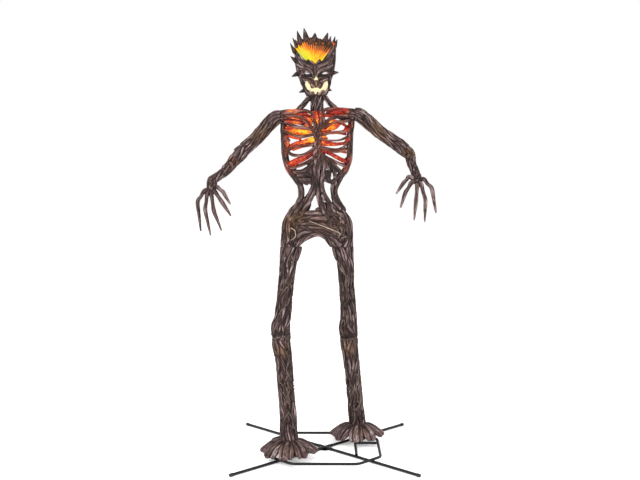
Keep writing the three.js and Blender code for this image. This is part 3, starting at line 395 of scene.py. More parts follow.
def carved(name, strands, voxel=5.0, extra=(), cuts=(), groove=2.4, lump=3.0, stretch=0.12, period=15.0,
           stains=(), embers=(), push=None, relax=3, ease=9.0, seed=0):
    """Strands joined into one skin, grooved along their grain, with the attributes its finish reads."""
    voxel *= COARSE
    tubes = [s.tube(10) for s in strands] + list(extra)
    surface = Surface(trimmed(union(name, tubes, voxel), cuts))
    hold = np.ones(len(surface.p))
    for point, direction in cuts:
        inside = (np.asarray(point) - surface.p) @ unit(direction)
        hold *= np.clip((inside - 0.3) / ease, 0, 1)
    start = surface.p.copy()
    surface.p = surface.relaxed(relax)
    surface.p = start + (surface.p - start) * hold[:, None]

    sample, _, margin = nearest(surface.p, strands)
    owner = np.concatenate([np.full(len(s.radii), i) for i, s in enumerate(strands)])[sample]
    stack = {
        key: np.concatenate([getattr(s, key) for s in strands])
        for key in ("centres", "t", "u", "v", "along", "heat")
    }
    offset = surface.p - stack["centres"][sample]
    ahead = (offset * stack["t"][sample]).sum(1)
    grain = np.column_stack(
        [
            (offset * stack["u"][sample]).sum(1) + 131.0 * owner,
            (offset * stack["v"][sample]).sum(1) + 57.0 * owner,
            (stack["along"][sample] + ahead) * stretch,
        ]
    )
    normal = surface.normals()
    crest = 0.65 * ridges(grain / period, seed) + 0.35 * ridges(grain / (0.55 * period), seed + 3)
    swell = noise(surface.p / 62, seed + 5) - 0.5 + 0.5 * (noise(surface.p / 27, seed + 6) - 0.5)
    # How far each point is from a seam with the next root. The bark's finish paints shade at the seams with it,
    # partly the dark wash of its paint.
    body = np.clip(margin / (6 + 1.2 * voxel), 0, 1)
    body = body * body * (3 - 2 * body)
    rise = (groove * (crest - 0.62) + 1.3 * groove * (body - 0.7) + lump * swell) * hold
    surface.p += normal * rise[:, None]
    if push is not None:
        surface.p = push(surface.p, hold)
    normal = surface.normals()
    # How deep each point lies in a crease, finely and broadly. The finishes darken the creases with it: partly the
    # dark wash the bark is painted with, partly painted shade.
    fine = ((surface.p - surface.relaxed(8)) * normal).sum(1)
    broad = np.minimum(((surface.p - surface.relaxed(40)) * normal).sum(1), 0)
    crease_shade_and_wash = (fine - np.median(fine)) / (2 * fine.std()) + 0.5 * broad / (broad.std() + 0.1)
    crease_shade_and_wash = np.clip(crease_shade_and_wash, -1, 1) * hold
    surface.attribute("crease_shade_and_wash", crease_shade_and_wash)
    surface.attribute("crest", crest)
    surface.attribute("body", body)
    surface.attribute("tone", np.array([s.tone for s in strands])[owner])
    surface.attribute("vine", np.array([s.vine for s in strands])[owner])
    surface.attribute("burning", stack["heat"][sample])
    surface.attribute("grain", grain / 10)
    stain = np.zeros(len(surface.p))
    for point, size, amount in stains:
        away = np.linalg.norm(surface.p - np.asarray(point), axis=1)
        stain += amount * np.exp(-((away / size) ** 2))
    surface.attribute("stain", np.clip(stain, 0, 1))
    # How near each point is to an ember: the bark's finish paints the embers' light there.
    lit = np.zeros(len(surface.p))
    if embers:
        _, away, _ = nearest(surface.p, embers)
        lit = np.exp(-np.maximum(away, 0) / 22)
    surface.attribute("lit", lit)
    surface.store()
    return linked(name, surface.mesh)


# ---------------------------------------------------------------- finishes
class Nodes:
    """A node material, built up by adding nodes and linking them."""

    def __init__(self, name):
        self.material = bpy.data.materials.new(name)
        self.material.use_nodes = True
        self.tree = self.material.node_tree
        self.bsdf = self.tree.nodes["Principled BSDF"]

    def add(self, kind, **settings):
        node = self.tree.nodes.new("ShaderNode" + kind)
        for key, value in settings.items():
            setattr(node, key, value)
        return node

    def link(self, source, target):
        self.tree.links.new(source, target)

    def attribute(self, name, output="Fac"):
        return self.add("Attribute", attribute_name=name).outputs[output]

    def place(self):
        return self.add("NewGeometry").outputs["Position"]

    def math(self, operation, a, b=0.0, clamp=False):
        node = self.add("Math", operation=operation, use_clamp=clamp)
        for socket, value in zip(node.inputs, (a, b)):
            if isinstance(value, (int, float)):
                socket.default_value = value
            else:
                self.link(value, socket)
        return node.outputs[0]

    def times(self, value, amount):
        return self.math("MULTIPLY", value, amount)

    def swing(self, value, middle, amount):
        """How far a value is from its middle, times an amount."""
        return self.times(self.math("SUBTRACT", value, middle), amount)

    def total(self, *terms):
        """The sum of the terms, held between 0 and 1."""
        out = terms[0]
        for number, term in enumerate(terms[1:], 2):
            out = self.math("ADD", out, term, clamp=number == len(terms))
        return out

    def noise(self, vector, scale, detail=3.0, roughness=0.55):
        node = self.add("TexNoise")
        node.inputs["Scale"].default_value = scale
        node.inputs["Detail"].default_value = detail
        node.inputs["Roughness"].default_value = roughness
        self.link(vector, node.inputs["Vector"])
        return node.outputs["Fac"]

    def ramp(self, value, stops):
        node = self.add("ValToRGB")
        elements = node.color_ramp.elements
        elements.remove(elements[1])
        elements[0].position = stops[0][0]
        elements[0].color = (*stops[0][1], 1)
        for at, colour in stops[1:]:
            elements.new(at).color = (*colour, 1)
        self.link(value, node.inputs["Fac"])
        return node.outputs["Color"]

    def mix(self, share, a, b):
        node = self.add("Mix", data_type="RGBA")
        for socket, value in ((node.inputs["Factor"], share), (node.inputs[6], a), (node.inputs[7], b)):
            if isinstance(value, (int, float)):
                socket.default_value = value
            elif isinstance(value, tuple):
                socket.default_value = (*value, 1)
            else:
                self.link(value, socket)
        return node.outputs[2]

    def bump(self, height, distance, strength=0.6):
        node = self.add("Bump")
        node.inputs["Strength"].default_value = strength
        node.inputs["Distance"].default_value = distance * MM
        self.link(height, node.inputs["Height"])
        self.link(node.outputs["Normal"], self.bsdf.inputs["Normal"])

    def set(self, **sockets):
        for key, value in sockets.items():
            self.bsdf.inputs[key.replace("_", " ")].default_value = value


def bark_finish():
    """Dark bark: lighter on the crests and the middles of the roots, darker in the seams and creases as painted
    shade (partly the dark wash of its paint), with stains, tan vines and an ember's light painted on it.
    """
    m = Nodes("bark_painted")
    grain = m.attribute("grain", "Vector")
    place = m.place()
    fibre = m.noise(grain, 0.62, 2, 0.5)
    coarse = m.noise(grain, 1.5, 3)
    fine = m.noise(grain, 4.5, 3, 0.6)
    patch = m.noise(place, 7.0, 3)
    level = m.total(
        # Darker at the seams between roots: painted shade, partly the bark's dark wash.
        m.times(m.attribute("body"), 0.30),
        # Darker in the creases: painted shade, partly the bark's dark wash.
        m.times(m.attribute("crease_shade_and_wash"), 0.17),
        m.swing(m.attribute("crest"), 0.6, 0.40),
        m.swing(fibre, 0.5, 0.95),
        m.swing(coarse, 0.5, 1.20),
        m.swing(fine, 0.5, 0.7),
        m.swing(patch, 0.5, 0.6),
        m.times(m.attribute("tone"), 0.14),
        0.17,
    )
    paint = m.ramp(level, BARK_STOPS)
    warm = m.mix(m.noise(place, 14.0, 2), (0.30, 0.10, 0.035), (0.26, 0.17, 0.05))
    warm = m.mix(level, (0.02, 0.009, 0.005), warm)
    paint = m.mix(m.times(m.attribute("stain"), 0.8), paint, warm)
    paint = m.mix(m.attribute("vine"), paint, m.ramp(level, VINE_STOPS))
    lit = m.attribute("lit")
    # The embers' light painted on the bark: red colour near them, and a faint glow.
    painted_ember_light = m.mix(level, (0.05, 0.006, 0.003), (0.50, 0.10, 0.03))
    paint = m.mix(m.times(lit, 0.5), paint, painted_ember_light)
    m.link(paint, m.bsdf.inputs["Base Color"])
    m.link(paint, m.bsdf.inputs["Emission Color"])
    m.link(m.times(m.math("POWER", lit, 2.0), 0.35), m.bsdf.inputs["Emission Strength"])
    m.link(m.math("ADD", m.times(fine, 0.3), 0.45), m.bsdf.inputs["Roughness"])
    m.set(Specular_IOR_Level=0.18)
    m.bump(m.math("ADD", m.times(coarse, 0.7), m.times(fine, 0.3)), 2.2, 0.55)
    return m.material


def ember_finish(name, stops, glow, uneven, cool):
    """A lit surface, coloured by how hot it burns; uneven spreads the heat and cool lowers it."""
    m = Nodes(name)
    streak = m.noise(m.attribute("grain", "Vector"), 0.8, 3)
    fleck = m.noise(m.place(), 45.0, 2)
    heat = m.total(
        m.math("SUBTRACT", m.attribute("burning"), cool),
        m.swing(streak, 0.5, 1.2 * uneven),
        m.swing(fleck, 0.5, 0.8 * uneven),
        # Cooler and dimmer in the creases: painted shade.
        m.times(m.attribute("crease_shade_and_wash"), 0.12),
        m.swing(m.attribute("body"), 0.75, 0.5 * uneven),
    )
    colour = m.ramp(heat, stops)
    m.link(m.mix(0.7, colour, (0.02, 0.004, 0.002)), m.bsdf.inputs["Base Color"])
    m.link(colour, m.bsdf.inputs["Emission Color"])
    m.link(m.math("ADD", m.times(streak, 0.4), glow - 0.2), m.bsdf.inputs["Emission Strength"])
    m.set(Roughness=0.35, Specular_IOR_Level=0.15)
    m.bump(m.math("ADD", streak, m.times(fleck, 0.3)), 1.5, 0.4)
    return m.material


def pale_finish(name, stops, glow):
    """A softly lit plate with faint clouds."""
    m = Nodes(name)
    cloud = m.noise(m.place(), 42.0, 2)
    colour = m.ramp(cloud, stops)
    m.link(m.mix(0.6, colour, (0.1, 0.08, 0.05)), m.bsdf.inputs["Base Color"])
    m.link(colour, m.bsdf.inputs["Emission Color"])
    m.set(Emission_Strength=glow, Roughness=0.4, Specular_IOR_Level=0.2)
    m.bump(cloud, 0.8, 0.3)
    return m.material


def hard_finish(name, colour, roughness, metallic, scale, wear):
    """Paint, zinc or plastic with fine grit; wear lightens it in clouds."""
    m = Nodes(name)
    place = m.place()
    grit = m.noise(place, scale, 3)
    cloud = m.noise(place, 18.0, 3)
    light = tuple(min(c * wear + 0.004, 1) for c in colour)
    m.link(m.mix(m.times(cloud, 0.7), colour, light), m.bsdf.inputs["Base Color"])
    m.link(m.math("ADD", m.times(cloud, 0.2), roughness - 0.1), m.bsdf.inputs["Roughness"])
    m.set(Metallic=metallic, Specular_IOR_Level=0.25)
    m.bump(grit, 0.25, 0.35)
    return m.material


# Colour ramps, from dark to light or from cool to hot.
BARK_STOPS = [
    (0.0, (0.0075, 0.0042, 0.0040)),
    (0.25, (0.023, 0.0125, 0.0112)),
    (0.45, (0.062, 0.035, 0.0305)),
    (0.65, (0.127, 0.083, 0.079)),
    (0.85, (0.252, 0.186, 0.186)),
    (1.0, (0.41, 0.335, 0.34)),
]
VINE_STOPS = [(0.0, (0.07, 0.045, 0.034)), (0.4, (0.20, 0.14, 0.11)), (0.9, (0.44, 0.34, 0.28))]
EMBER_STOPS = [
    (0.0, (0.035, 0.004, 0.003)),
    (0.22, (0.25, 0.010, 0.006)),
    (0.42, (0.52, 0.040, 0.016)),
    (0.60, (0.76, 0.13, 0.016)),
    (0.78, (0.95, 0.36, 0.015)),
    (1.0, (0.95, 0.66, 0.04)),
]
FLAME_STOPS = [
    (0.0, (0.020, 0.012, 0.003)),
    (0.22, (0.14, 0.050, 0.005)),
    (0.38, (0.58, 0.085, 0.006)),
    (0.55, (0.85, 0.26, 0.008)),
    (0.72, (0.92, 0.50, 0.012)),
    (0.86, (0.74, 0.62, 0.015)),
    (0.98, (0.42, 0.55, 0.02)),
]
PALE_STOPS = [(0.25, (0.74, 0.58, 0.26)), (0.55, (0.88, 0.79, 0.46)), (0.8, (0.95, 0.90, 0.64))]
EYE_STOPS = [(0.25, (0.48, 0.44, 0.46)), (0.7, (0.78, 0.75, 0.78))]
BARK = bark_finish()
EMBER = ember_finish("ember_lit", EMBER_STOPS, 0.66, 1.05, 0.23)
FLAME = ember_finish("flame_lit", FLAME_STOPS, 0.80, 0.55, -0.12)
PALE = pale_finish("glow_insert", PALE_STOPS, 0.6)
EYE = pale_finish("glow_eye", EYE_STOPS, 0.55)
STEEL = hard_finish("powder_coat", (0.005, 0.005, 0.006), 0.42, 0.0, 900.0, 1.5)
ZINC = hard_finish("zinc_plate", (0.55, 0.56, 0.58), 0.35, 1.0, 500.0, 1.15)
PLASTIC = hard_finish("moulded_plastic", (0.013, 0.013, 0.014), 0.5, 0.0, 1400.0, 1.6)


def finish(piece, material, slot, body, *nodes):
    piece.data.materials.clear()
    piece.data.materials.append(material)
    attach(piece, body)
    if nodes:
        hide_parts(*nodes)
    return piece


def rooted(name, strands, voxel, body, nodes, **how):
    """A carved piece in the painted bark, which shows in place of CAD nodes."""
    return finish(carved(name, strands, voxel, **how), BARK, "bark", body, *nodes)


def beyond(z):
    """A cut that takes away what is above a height."""
    return [0, 0, z], UP


def beneath(z):
    """A cut that takes away what is below a height."""
    return [0, 0, z], -UP


# ---------------------------------------------------------------- legs and feet
FOOT_REACH = 262
FOOT_VOXEL = LEG_VOXEL = 5.0
# Each toe's direction in degrees from straight ahead, and its share of the foot's reach.
TOES = {-98: 1, -52: 1, -6: 0.95, 42: 0.9, 94: 1, 180: 0.81}


def foot(side, seed):
    """A splayed foot: three roots to a toe, and thinner ones between the toes."""
    ankle = ring_centre(f"shin_shell_{side}", top=False)
    rng = np.random.default_rng(seed)

    def at(a, r, z):
        return ankle + [math.sin(a) * r, -math.cos(a) * r, z - ankle[2]]

    core = [ankle + [0, 0, 20], ankle + [0, 0, -40], ankle + [0, 0, -80]]
    strands = [Strand(core, [64, 78, 104], tone=-0.4)]
    top = SOLE + 34
    for degrees, far in TOES.items():
        a = math.radians(degrees)
        for turn, width, reach in ((0, 1.12, 1.0), (-0.2, 0.9, 0.93), (0.2, 0.86, 0.9)):
            b = a + turn
            sway = rng.uniform(-0.08, 0.08)
            points = [
                at(a + turn * 1.4, 58, ankle[2] + 30),
                at(a + turn * 1.4, 66, ankle[2] - 18),
                at(b + sway, 104, top + 56),
                at(b, 160, top + 24),
                at(b + 0.5 * sway, FOOT_REACH * far * reach - 26 * width, SOLE + 15 * width + 2),
            ]
            radii = [16, 20 * width + 6, 35 * width, 38 * width, 26 * width]
            strands.append(Strand(points, radii, tone=rng.uniform(-0.2, 0.6)))
    for k in range(9):
        a = 2 * math.pi * (k + 0.5) / 9
        points = [at(a, 62, ankle[2] + 30), at(a, 74, ankle[2] - 26), at(a, 112, SOLE + 52)]
        points.append(at(a, 150 + rng.uniform(-8, 18), SOLE + 16))
        strands.append(Strand(points, [13, 15, 18, 14], tone=rng.uniform(-1.2, -0.4)))
    cuts = [(ankle - SEAM * UP, UP), beneath(SOLE)]
    stains = [(ankle + [0, -150, -80], 90, 0.25)]
    shell = [f"foot_shell_{side}"]
    rooted(f"root_foot_{side}", strands, FOOT_VOXEL, "root", shell, cuts=cuts, seed=seed, stains=stains)


def leg(side, seed):
    """The shin and the thigh, each a bundle of thin roots, tied round with a few at the knee."""
    ankle = ring_centre(f"shin_shell_{side}", top=False)
    knee = ring_centre(f"shin_shell_{side}", top=True)
    hip = ring_centre(f"thigh_shell_{side}", top=True)
    out = OUTWARD[side]
    shin, thigh = knee - ankle, hip - knee
    look = dict(stretch=0.09)

    shift = np.array([9.0 if side == "right" else 2.0, 0, 0])
    path = [
        ankle - 0.04 * shin, ankle, ankle + 0.25 * shin + shift, ankle + 0.5 * shin + shift,
        ankle + 0.8 * shin + shift, ankle + 0.94 * shin, ankle + 1.04 * shin,
    ]
    strands = wrapped(path, [86, 84, 77, 75, 78, 86, 82], 23, 10.5, 0.22 * out, seed, vines=12)
    cuts = [(ankle + SEAM * UP, -UP), (knee - SEAM * UP, UP)]
    stains = [(ankle + 0.9 * shin + [0, -60, 0], 70, 0.5)]
    shell = [f"shin_shell_{side}"]
    rooted(
        f"root_shin_{side}", strands, LEG_VOXEL, "root", shell, cuts=cuts, seed=seed, stains=stains, **look
    )

    t, u, v = (frames(np.array([ankle, knee]))[k][1] for k in range(3))

    def tie(along, tilt, width, reach, **colour):
        """A thin root tied round the leg near the knee."""
        a = np.linspace(0, 2 * math.pi, 25)[:, None]
        ring = knee + reach * (np.cos(a) * u + np.sin(a) * v) + (along + tilt * np.cos(a + 1)) * t
        return Strand(ring, [width], ends=False, **colour)

    shift = np.array([-5.0 if side == "right" else 8.0, 0, 0])
    path = [
        knee - 0.04 * thigh, knee + 0.03 * thigh, knee + 0.13 * thigh + shift - [10, 0, 0],
        knee + 0.24 * thigh + shift, knee + 0.5 * thigh + shift, knee + 0.75 * thigh + shift,
        knee + thigh + 0.5 * shift, knee + 1.05 * thigh + 0.5 * shift,
    ]
    strands = wrapped(path, [80, 86, 88, 78, 73, 77, 89, 91], 23, 10.5, -0.2 * out, seed + 1, vines=12)
    strands += [tie(22, 8, 4.5, 81, vine=0.8), tie(40, -7, 6, 82, tone=-1.5), tie(62, 6, 5, 83, tone=-1.0)]
    # Two roots fill the corner between the thigh and the crotch.
    inner = np.array([-out, 0.0, 0.0])
    for points, radii in (
        ([(84, -16, 12), (80, -10, -50), (66, 0, -120)], [27, 21, 12]),
        ([(78, 26, 12), (72, 24, -60), (58, 20, -130)], [24, 19, 12]),
    ):
        strands.append(Strand([hip + inner * x + [0, y, z] for x, y, z in points], radii))
    cuts = [(knee + SEAM * UP, -UP), (hip - SEAM * UP, UP)]
    shell = [f"thigh_shell_{side}"]
    rooted(f"root_thigh_{side}", strands, LEG_VOXEL, "root", shell, cuts=cuts, seed=seed + 1, **look)


# ---------------------------------------------------------------- trunk
# The trunk's half width and half depth by height, which follow the chest up and down.
TRUNK_SHAPE = np.array([
    (1866, 330, 120), (1960, 325, 122), (2033, 322, 130), (2142, 285, 125), (2215, 245, 112), (2288, 200, 98),
    (2360, 182, 92), (2433, 195, 100), (2505, 250, 128), (2578, 288, 150), (2686, 314, 165), (2866, 314, 170),
    (2975, 305, 160), (3080, 290, 130), (3215, 60, 60),
], float)
USUAL_CHEST = 2495.7
TRUNK_SHAPE[:, 0] += CHEST - USUAL_CHEST
# The back's roots are spread about the camera's line of view, so that the camera sees them in line with the
# front's, which are nearer to it.
EYE_LEVEL, BACK_SPREAD = 2371, 1.035


def on_trunk(points, radius, back=False, sink=0.0):
    """Points given across and up from the chest's foot, laid on the front or the back of the trunk."""
    out = []
    for x, z in points:
        height = CHEST + z
        wide = np.interp(height, TRUNK_SHAPE[:, 0], TRUNK_SHAPE[:, 1])
        deep = np.interp(height, TRUNK_SHAPE[:, 0], TRUNK_SHAPE[:, 2])
        reach = max(1 - (x / max(wide - radius, 1)) ** 2, 0) ** 0.5
        y = (deep - radius - sink) * reach
        if back:
            x = (x + TRUNK[0]) * BACK_SPREAD - TRUNK[0]
            height = EYE_LEVEL + (height - EYE_LEVEL) * BACK_SPREAD
        out.append([TRUNK[0] + x, TRUNK[1] + (y if back else -y), height])
    return out


# Each root of the chest and waist: its points (across, up from the chest's foot) and its radii.
COLUMNS = [
    (
        [
            (-286, 510), (-285, 440), (-285, 380), (-274, 300), (-275, 220), (-264, 140), (-236, 72),
            (-184, 8), (-151, -50), (-136, -110), (-134, -180), (-158, -240), (-192, -300),
        ],
        [26, 26, 24, 24, 26, 26, 26, 28, 30],
    ),
    (
        [(-294, 520), (-292, 400), (-288, 250), (-278, 150), (-250, 62), (-200, -12), (-162, -70)],
        [17, 20, 18, 20, 18, 14],
    ),
    (
        [
            (317, 510), (307, 450), (298, 325), (296, 220), (290, 140), (262, 65), (216, -5), (178, -75),
            (164, -145), (190, -220), (236, -290),
        ],
        [24, 26, 25, 24, 26, 26, 26, 28, 30],
    ),
    (
        [(300, 500), (292, 400), (284, 300), (286, 200), (276, 110), (244, 40), (204, -30), (166, -90)],
        [15, 18, 16, 18, 18, 14],
    ),
]
YOKE = [
    ([(-335, 548), (-260, 564), (-180, 574), (-105, 578), (-45, 560)], [20, 17, 16, 16, 14]),
    ([(-310, 526), (-245, 528), (-180, 530), (-105, 500), (-45, 430), (-5, 370)], [20, 18, 17, 17, 16, 14]),
    ([(335, 562), (255, 578), (185, 588), (110, 590), (65, 580)], [20, 17, 16, 16, 14]),
    ([(325, 545), (255, 532), (185, 525), (125, 505), (65, 450), (25, 405)], [20, 18, 17, 18, 17, 14]),
]
RIBS = [
    ([(-285, 495), (-245, 465), (-180, 435), (-105, 425), (-35, 405)], [18, 16, 18, 18, 15]),
    ([(-280, 405), (-230, 375), (-155, 350), (-100, 350), (-30, 370)], [16, 14, 14, 14, 15]),
    ([(-270, 295), (-245, 240), (-185, 260), (-110, 265), (-30, 280)], [18, 14, 14, 14, 16]),
    ([(-262, 225), (-210, 190), (-140, 185), (-70, 210), (-10, 255)], [15, 15, 14, 15, 16]),
    ([(-245, 75), (-190, 80), (-120, 105), (-50, 140), (5, 190)], [18, 16, 16, 18, 18]),
    ([(315, 506), (240, 484), (175, 478), (105, 452), (60, 425)], [16, 14, 12, 15, 15]),
    ([(315, 420), (240, 392), (175, 388), (105, 380), (40, 362)], [18, 15, 14, 14, 16]),
    ([(305, 310), (265, 295), (235, 250), (160, 235), (65, 250)], [18, 15, 14, 14, 16]),
    ([(305, 365), (240, 330), (175, 315), (105, 315), (40, 325)], [12, 11, 10, 10, 12]),
    ([(40, 255), (100, 230), (175, 215), (240, 230), (300, 255)], [15, 12, 11, 14, 15]),
    ([(25, 210), (90, 170), (135, 150), (200, 115), (262, 92)], [15, 14, 12, 14, 15]),
    ([(50, 190), (125, 140), (165, 90), (210, 40), (230, 10)], [18, 19, 19, 20, 20]),
]
CENTRE = [
    (
        [
            (25, 450), (-10, 370), (30, 290), (-5, 220), (-10, 150), (-10, 45), (5, -55), (-8, -112),
            (-38, -175), (-70, -238), (-108, -300),
        ],
        [20, 23, 23, 23, 23, 22, 21, 21, 23],
    ),
    (
        [
            (-5, 430), (40, 355), (-10, 280), (30, 220), (25, 150), (10, 45), (10, -55), (16, -150),
            (28, -215), (44, -262), (66, -325),
        ],
        [17, 23, 22, 22, 22, 21, 21, 23, 25],
    ),
    (
        [
            (40, 440), (10, 345), (15, 250), (45, 190), (65, 115), (65, 45), (50, -55), (65, -145),
            (120, -245), (160, -310),
        ],
        [16, 20, 20, 20, 22, 21, 21, 23, 28],
    ),
    ([(-30, 560), (-10, 465), (-20, 400), (0, 330)], [17, 17, 17, 17]),
    ([(60, 560), (40, 450), (30, 400)], [17, 17, 16]),
]
WAIST_ROOTS = [
    ([(94, 116), (110, 72), (124, 30)], [14, 15, 14]),
    ([(60, -146), (66, -180), (64, -214)], [12, 14, 13]),
    ([(48, 560), (64, 500), (78, 452)], [16, 17, 15]),
    ([(-262, 352), (-258, 330), (-240, 318)], [15, 16, 14]),
    ([(-262, 150), (-252, 128), (-232, 118)], [16, 18, 15]),
    ([(112, 46), (118, 10), (112, -30)], [16, 17, 15]),
    ([(-140, -40), (-110, -52), (-84, -66)], [15, 16, 15]),
    ([(142, -60), (138, -120), (146, -190)], [15, 15, 16]),
    ([(66, 180), (128, 118), (158, 45), (170, -15)], [16, 19, 19, 18]),
    ([(196, 8), (135, -48), (74, -24)], [19, 18, 19]),
    ([(162, -40), (160, -125), (160, -200), (196, -280)], [21, 22, 25, 28]),
    (
        [(-60, 115), (-55, 45), (-24, -20), (-28, -90), (-62, -162), (-94, -208), (-130, -255), (-180, -320)],
        [20, 21, 21, 22, 25, 28],
    ),
    ([(-215, 40), (-140, 40), (-70, 75), (-30, 115)], [21, 22, 20, 19]),
    ([(-195, 0), (-125, -20), (-60, -30)], [24, 24, 21]),
    ([(-150, 14), (-100, 22), (-50, 10)], [25, 25, 20]),
    ([(85, 40), (105, -15), (120, -40)], [19, 21, 19]),
    ([(-120, -40), (-80, -50), (-45, -60)], [15, 15, 15]),
]
EMBER_RIBS = [
    ([(-98, 520), (-66, 496), (-48, 460)], [20, 22, 18], [0.5, 0.6, 0.6]),
    ([(-204, 234), (-130, 262), (-50, 285)], [12, 14, 12], [0.5, 0.55, 0.6]),
    ([(200, 478), (240, 462), (276, 440)], [12, 14, 12], [0.35, 0.3, 0.25]),
    ([(90, 374), (180, 384), (262, 372)], [10, 12, 10], [0.6, 0.45, 0.35]),
    ([(120, 236), (200, 226), (262, 212)], [10, 12, 10], [0.4, 0.3, 0.25]),
    ([(-150, 548), (-100, 546), (-58, 530)], [17, 18, 14], [0.3, 0.34, 0.3]),
    ([(-112, 470), (-74, 440), (-42, 408)], [17, 18, 15], [0.5, 0.62, 0.6]),
    ([(74, 545), (104, 535), (140, 528)], [14, 15, 13], [0.3, 0.3, 0.25]),
    ([(-270, 575), (-210, 575), (-155, 575), (-110, 570)], [18, 22, 22, 17], [0.42, 0.62, 0.55, 0.3]),
    ([(-250, 495), (-180, 480), (-110, 462)], [19, 20, 18], [0.35, 0.75, 0.4]),
    ([(-262, 512), (-200, 508), (-130, 490)], [12, 14, 12], [0.3, 0.6, 0.5]),
    ([(-255, 430), (-185, 402), (-120, 392), (-45, 390)], [22, 32, 32, 26], [0.45, 0.78, 0.9, 0.85]),
    ([(-272, 350), (-235, 355), (-185, 340), (-140, 330)], [12, 16, 14, 11], [0.35, 0.5, 0.45]),
    ([(-258, 250), (-195, 285), (-120, 300), (-40, 315)], [17, 18, 22, 34], [0.5, 0.5, 0.6, 0.9]),
    ([(-262, 330), (-250, 290), (-256, 250), (-262, 220)], [12, 16, 14, 12], [0.5, 0.62, 0.5]),
    (
        [(-245, 105), (-225, 112), (-160, 140), (-85, 170), (-15, 215)], [19, 29, 30, 24, 17],
        [0.25, 0.5, 0.42, 0.35, 0.2],
    ),
    ([(-262, 115), (-238, 55), (-215, 25)], [17, 22, 14], [0.16, 0.22, 0.12]),
    ([(285, 590), (235, 580), (165, 575), (105, 555)], [18, 31, 34, 24], [0.28, 0.42, 0.36, 0.22]),
    ([(200, 470), (155, 440), (65, 405)], [24, 32, 24], [0.5, 0.72, 0.62]),
    ([(175, 490), (120, 470), (80, 430)], [14, 17, 17], [0.6, 0.68, 0.6]),
    ([(300, 455), (270, 425), (250, 395), (215, 385)], [17, 22, 18, 12], [0.25, 0.42, 0.4]),
    ([(110, 385), (70, 375), (45, 372)], [17, 22, 17], [0.6, 0.68, 0.6]),
    ([(90, 335), (60, 345), (45, 340)], [14, 22, 17], [0.55, 0.7, 0.6]),
    ([(250, 295), (175, 285), (110, 288), (55, 295)], [14, 16, 22, 29], [0.42, 0.4, 0.55, 0.62]),
    ([(290, 340), (270, 320), (255, 300)], [12, 14, 12], [0.2, 0.35, 0.3]),
    ([(50, 230), (125, 200), (200, 160), (270, 130)], [16, 18, 19, 19], [0.2, 0.32, 0.36, 0.2]),
    ([(290, 170), (275, 140), (280, 110), (255, 75)], [19, 29, 24, 17], [0.14, 0.22, 0.18]),
    ([(-12, 555), (0, 520), (10, 480), (12, 452)], [26, 36, 24, 11], [0.40, 0.68, 0.88, 0.95]),
    ([(32, 556), (28, 520), (20, 480)], [22, 26, 14], [0.3, 0.6, 0.8]),
    ([(-32, 545), (-24, 510), (-4, 470)], [14, 17, 11], [0.5, 0.7, 0.85]),
]


def trunk_strands(table, back=False, sink=0.0, tones=0):
    """A table's roots laid on the trunk, with tones drawn from their own series."""
    rng = np.random.default_rng(11 + tones)
    out = []
    for points, radii, *heat in table:
        middle = float(np.mean(radii))
        laid = on_trunk(points, middle, back, sink)
        out.append(Strand(laid, radii, tone=rng.uniform(-0.5, 0.6), heat=heat[0] if heat else 0.0))
    return out


def twins(strands, spread, size, seed):
    """Thinner roots laid along each strand, so that it reads as a bundle."""
    rng = np.random.default_rng(seed)
    out = []
    for s in strands:
        for k in range(2):
            phase = rng.uniform(0, 2 * math.pi)
            angle = s.along / rng.uniform(45, 90) * rng.choice([-1, 1]) + phase
            reach = (s.radii * spread)[:, None]
            path = s.centres + reach * (np.cos(angle)[:, None] * s.u + np.sin(angle)[:, None] * s.v)
            out.append(Strand(path[::2], (s.radii * size)[::2], tone=rng.uniform(-0.3, 0.8)))
    return out


def clipped(strands, bottom, top, margin=50):
    """The parts of strands that pass between two heights, with a little to spare."""
    out = []
    for s in strands:
        inside = (s.centres[:, 2] > bottom - margin) & (s.centres[:, 2] < top + margin)
        edges = np.flatnonzero(np.diff(np.concatenate([[0], inside, [0]])))
        for first, last in zip(edges[::2], edges[1::2]):
            if last - first >= 3:
                part = Strand(s.centres[first:last], s.radii[first:last], s.tone, s.vine)
                part.heat = np.interp(part.along, s.along[first:last] - s.along[first], s.heat[first:last])
                out.append(part)
    return out


def collars():
    """The bundles of roots that reach from the chest to the shoulders."""
    out = []
    for side in SIDES:
        at = joint_at(f"shoulder_{side}")
        outward = OUTWARD[side]
        inner = at + [-outward * 150, 0, -4]
        path = [inner + [0, 0, -8], at + [-outward * 70, 0, -10], at + [outward * 20, 0, -6]]
        out += wrapped(path, [30, 46, 52], 11, 11, 0.3, 31 + outward, vines=2)
    return out


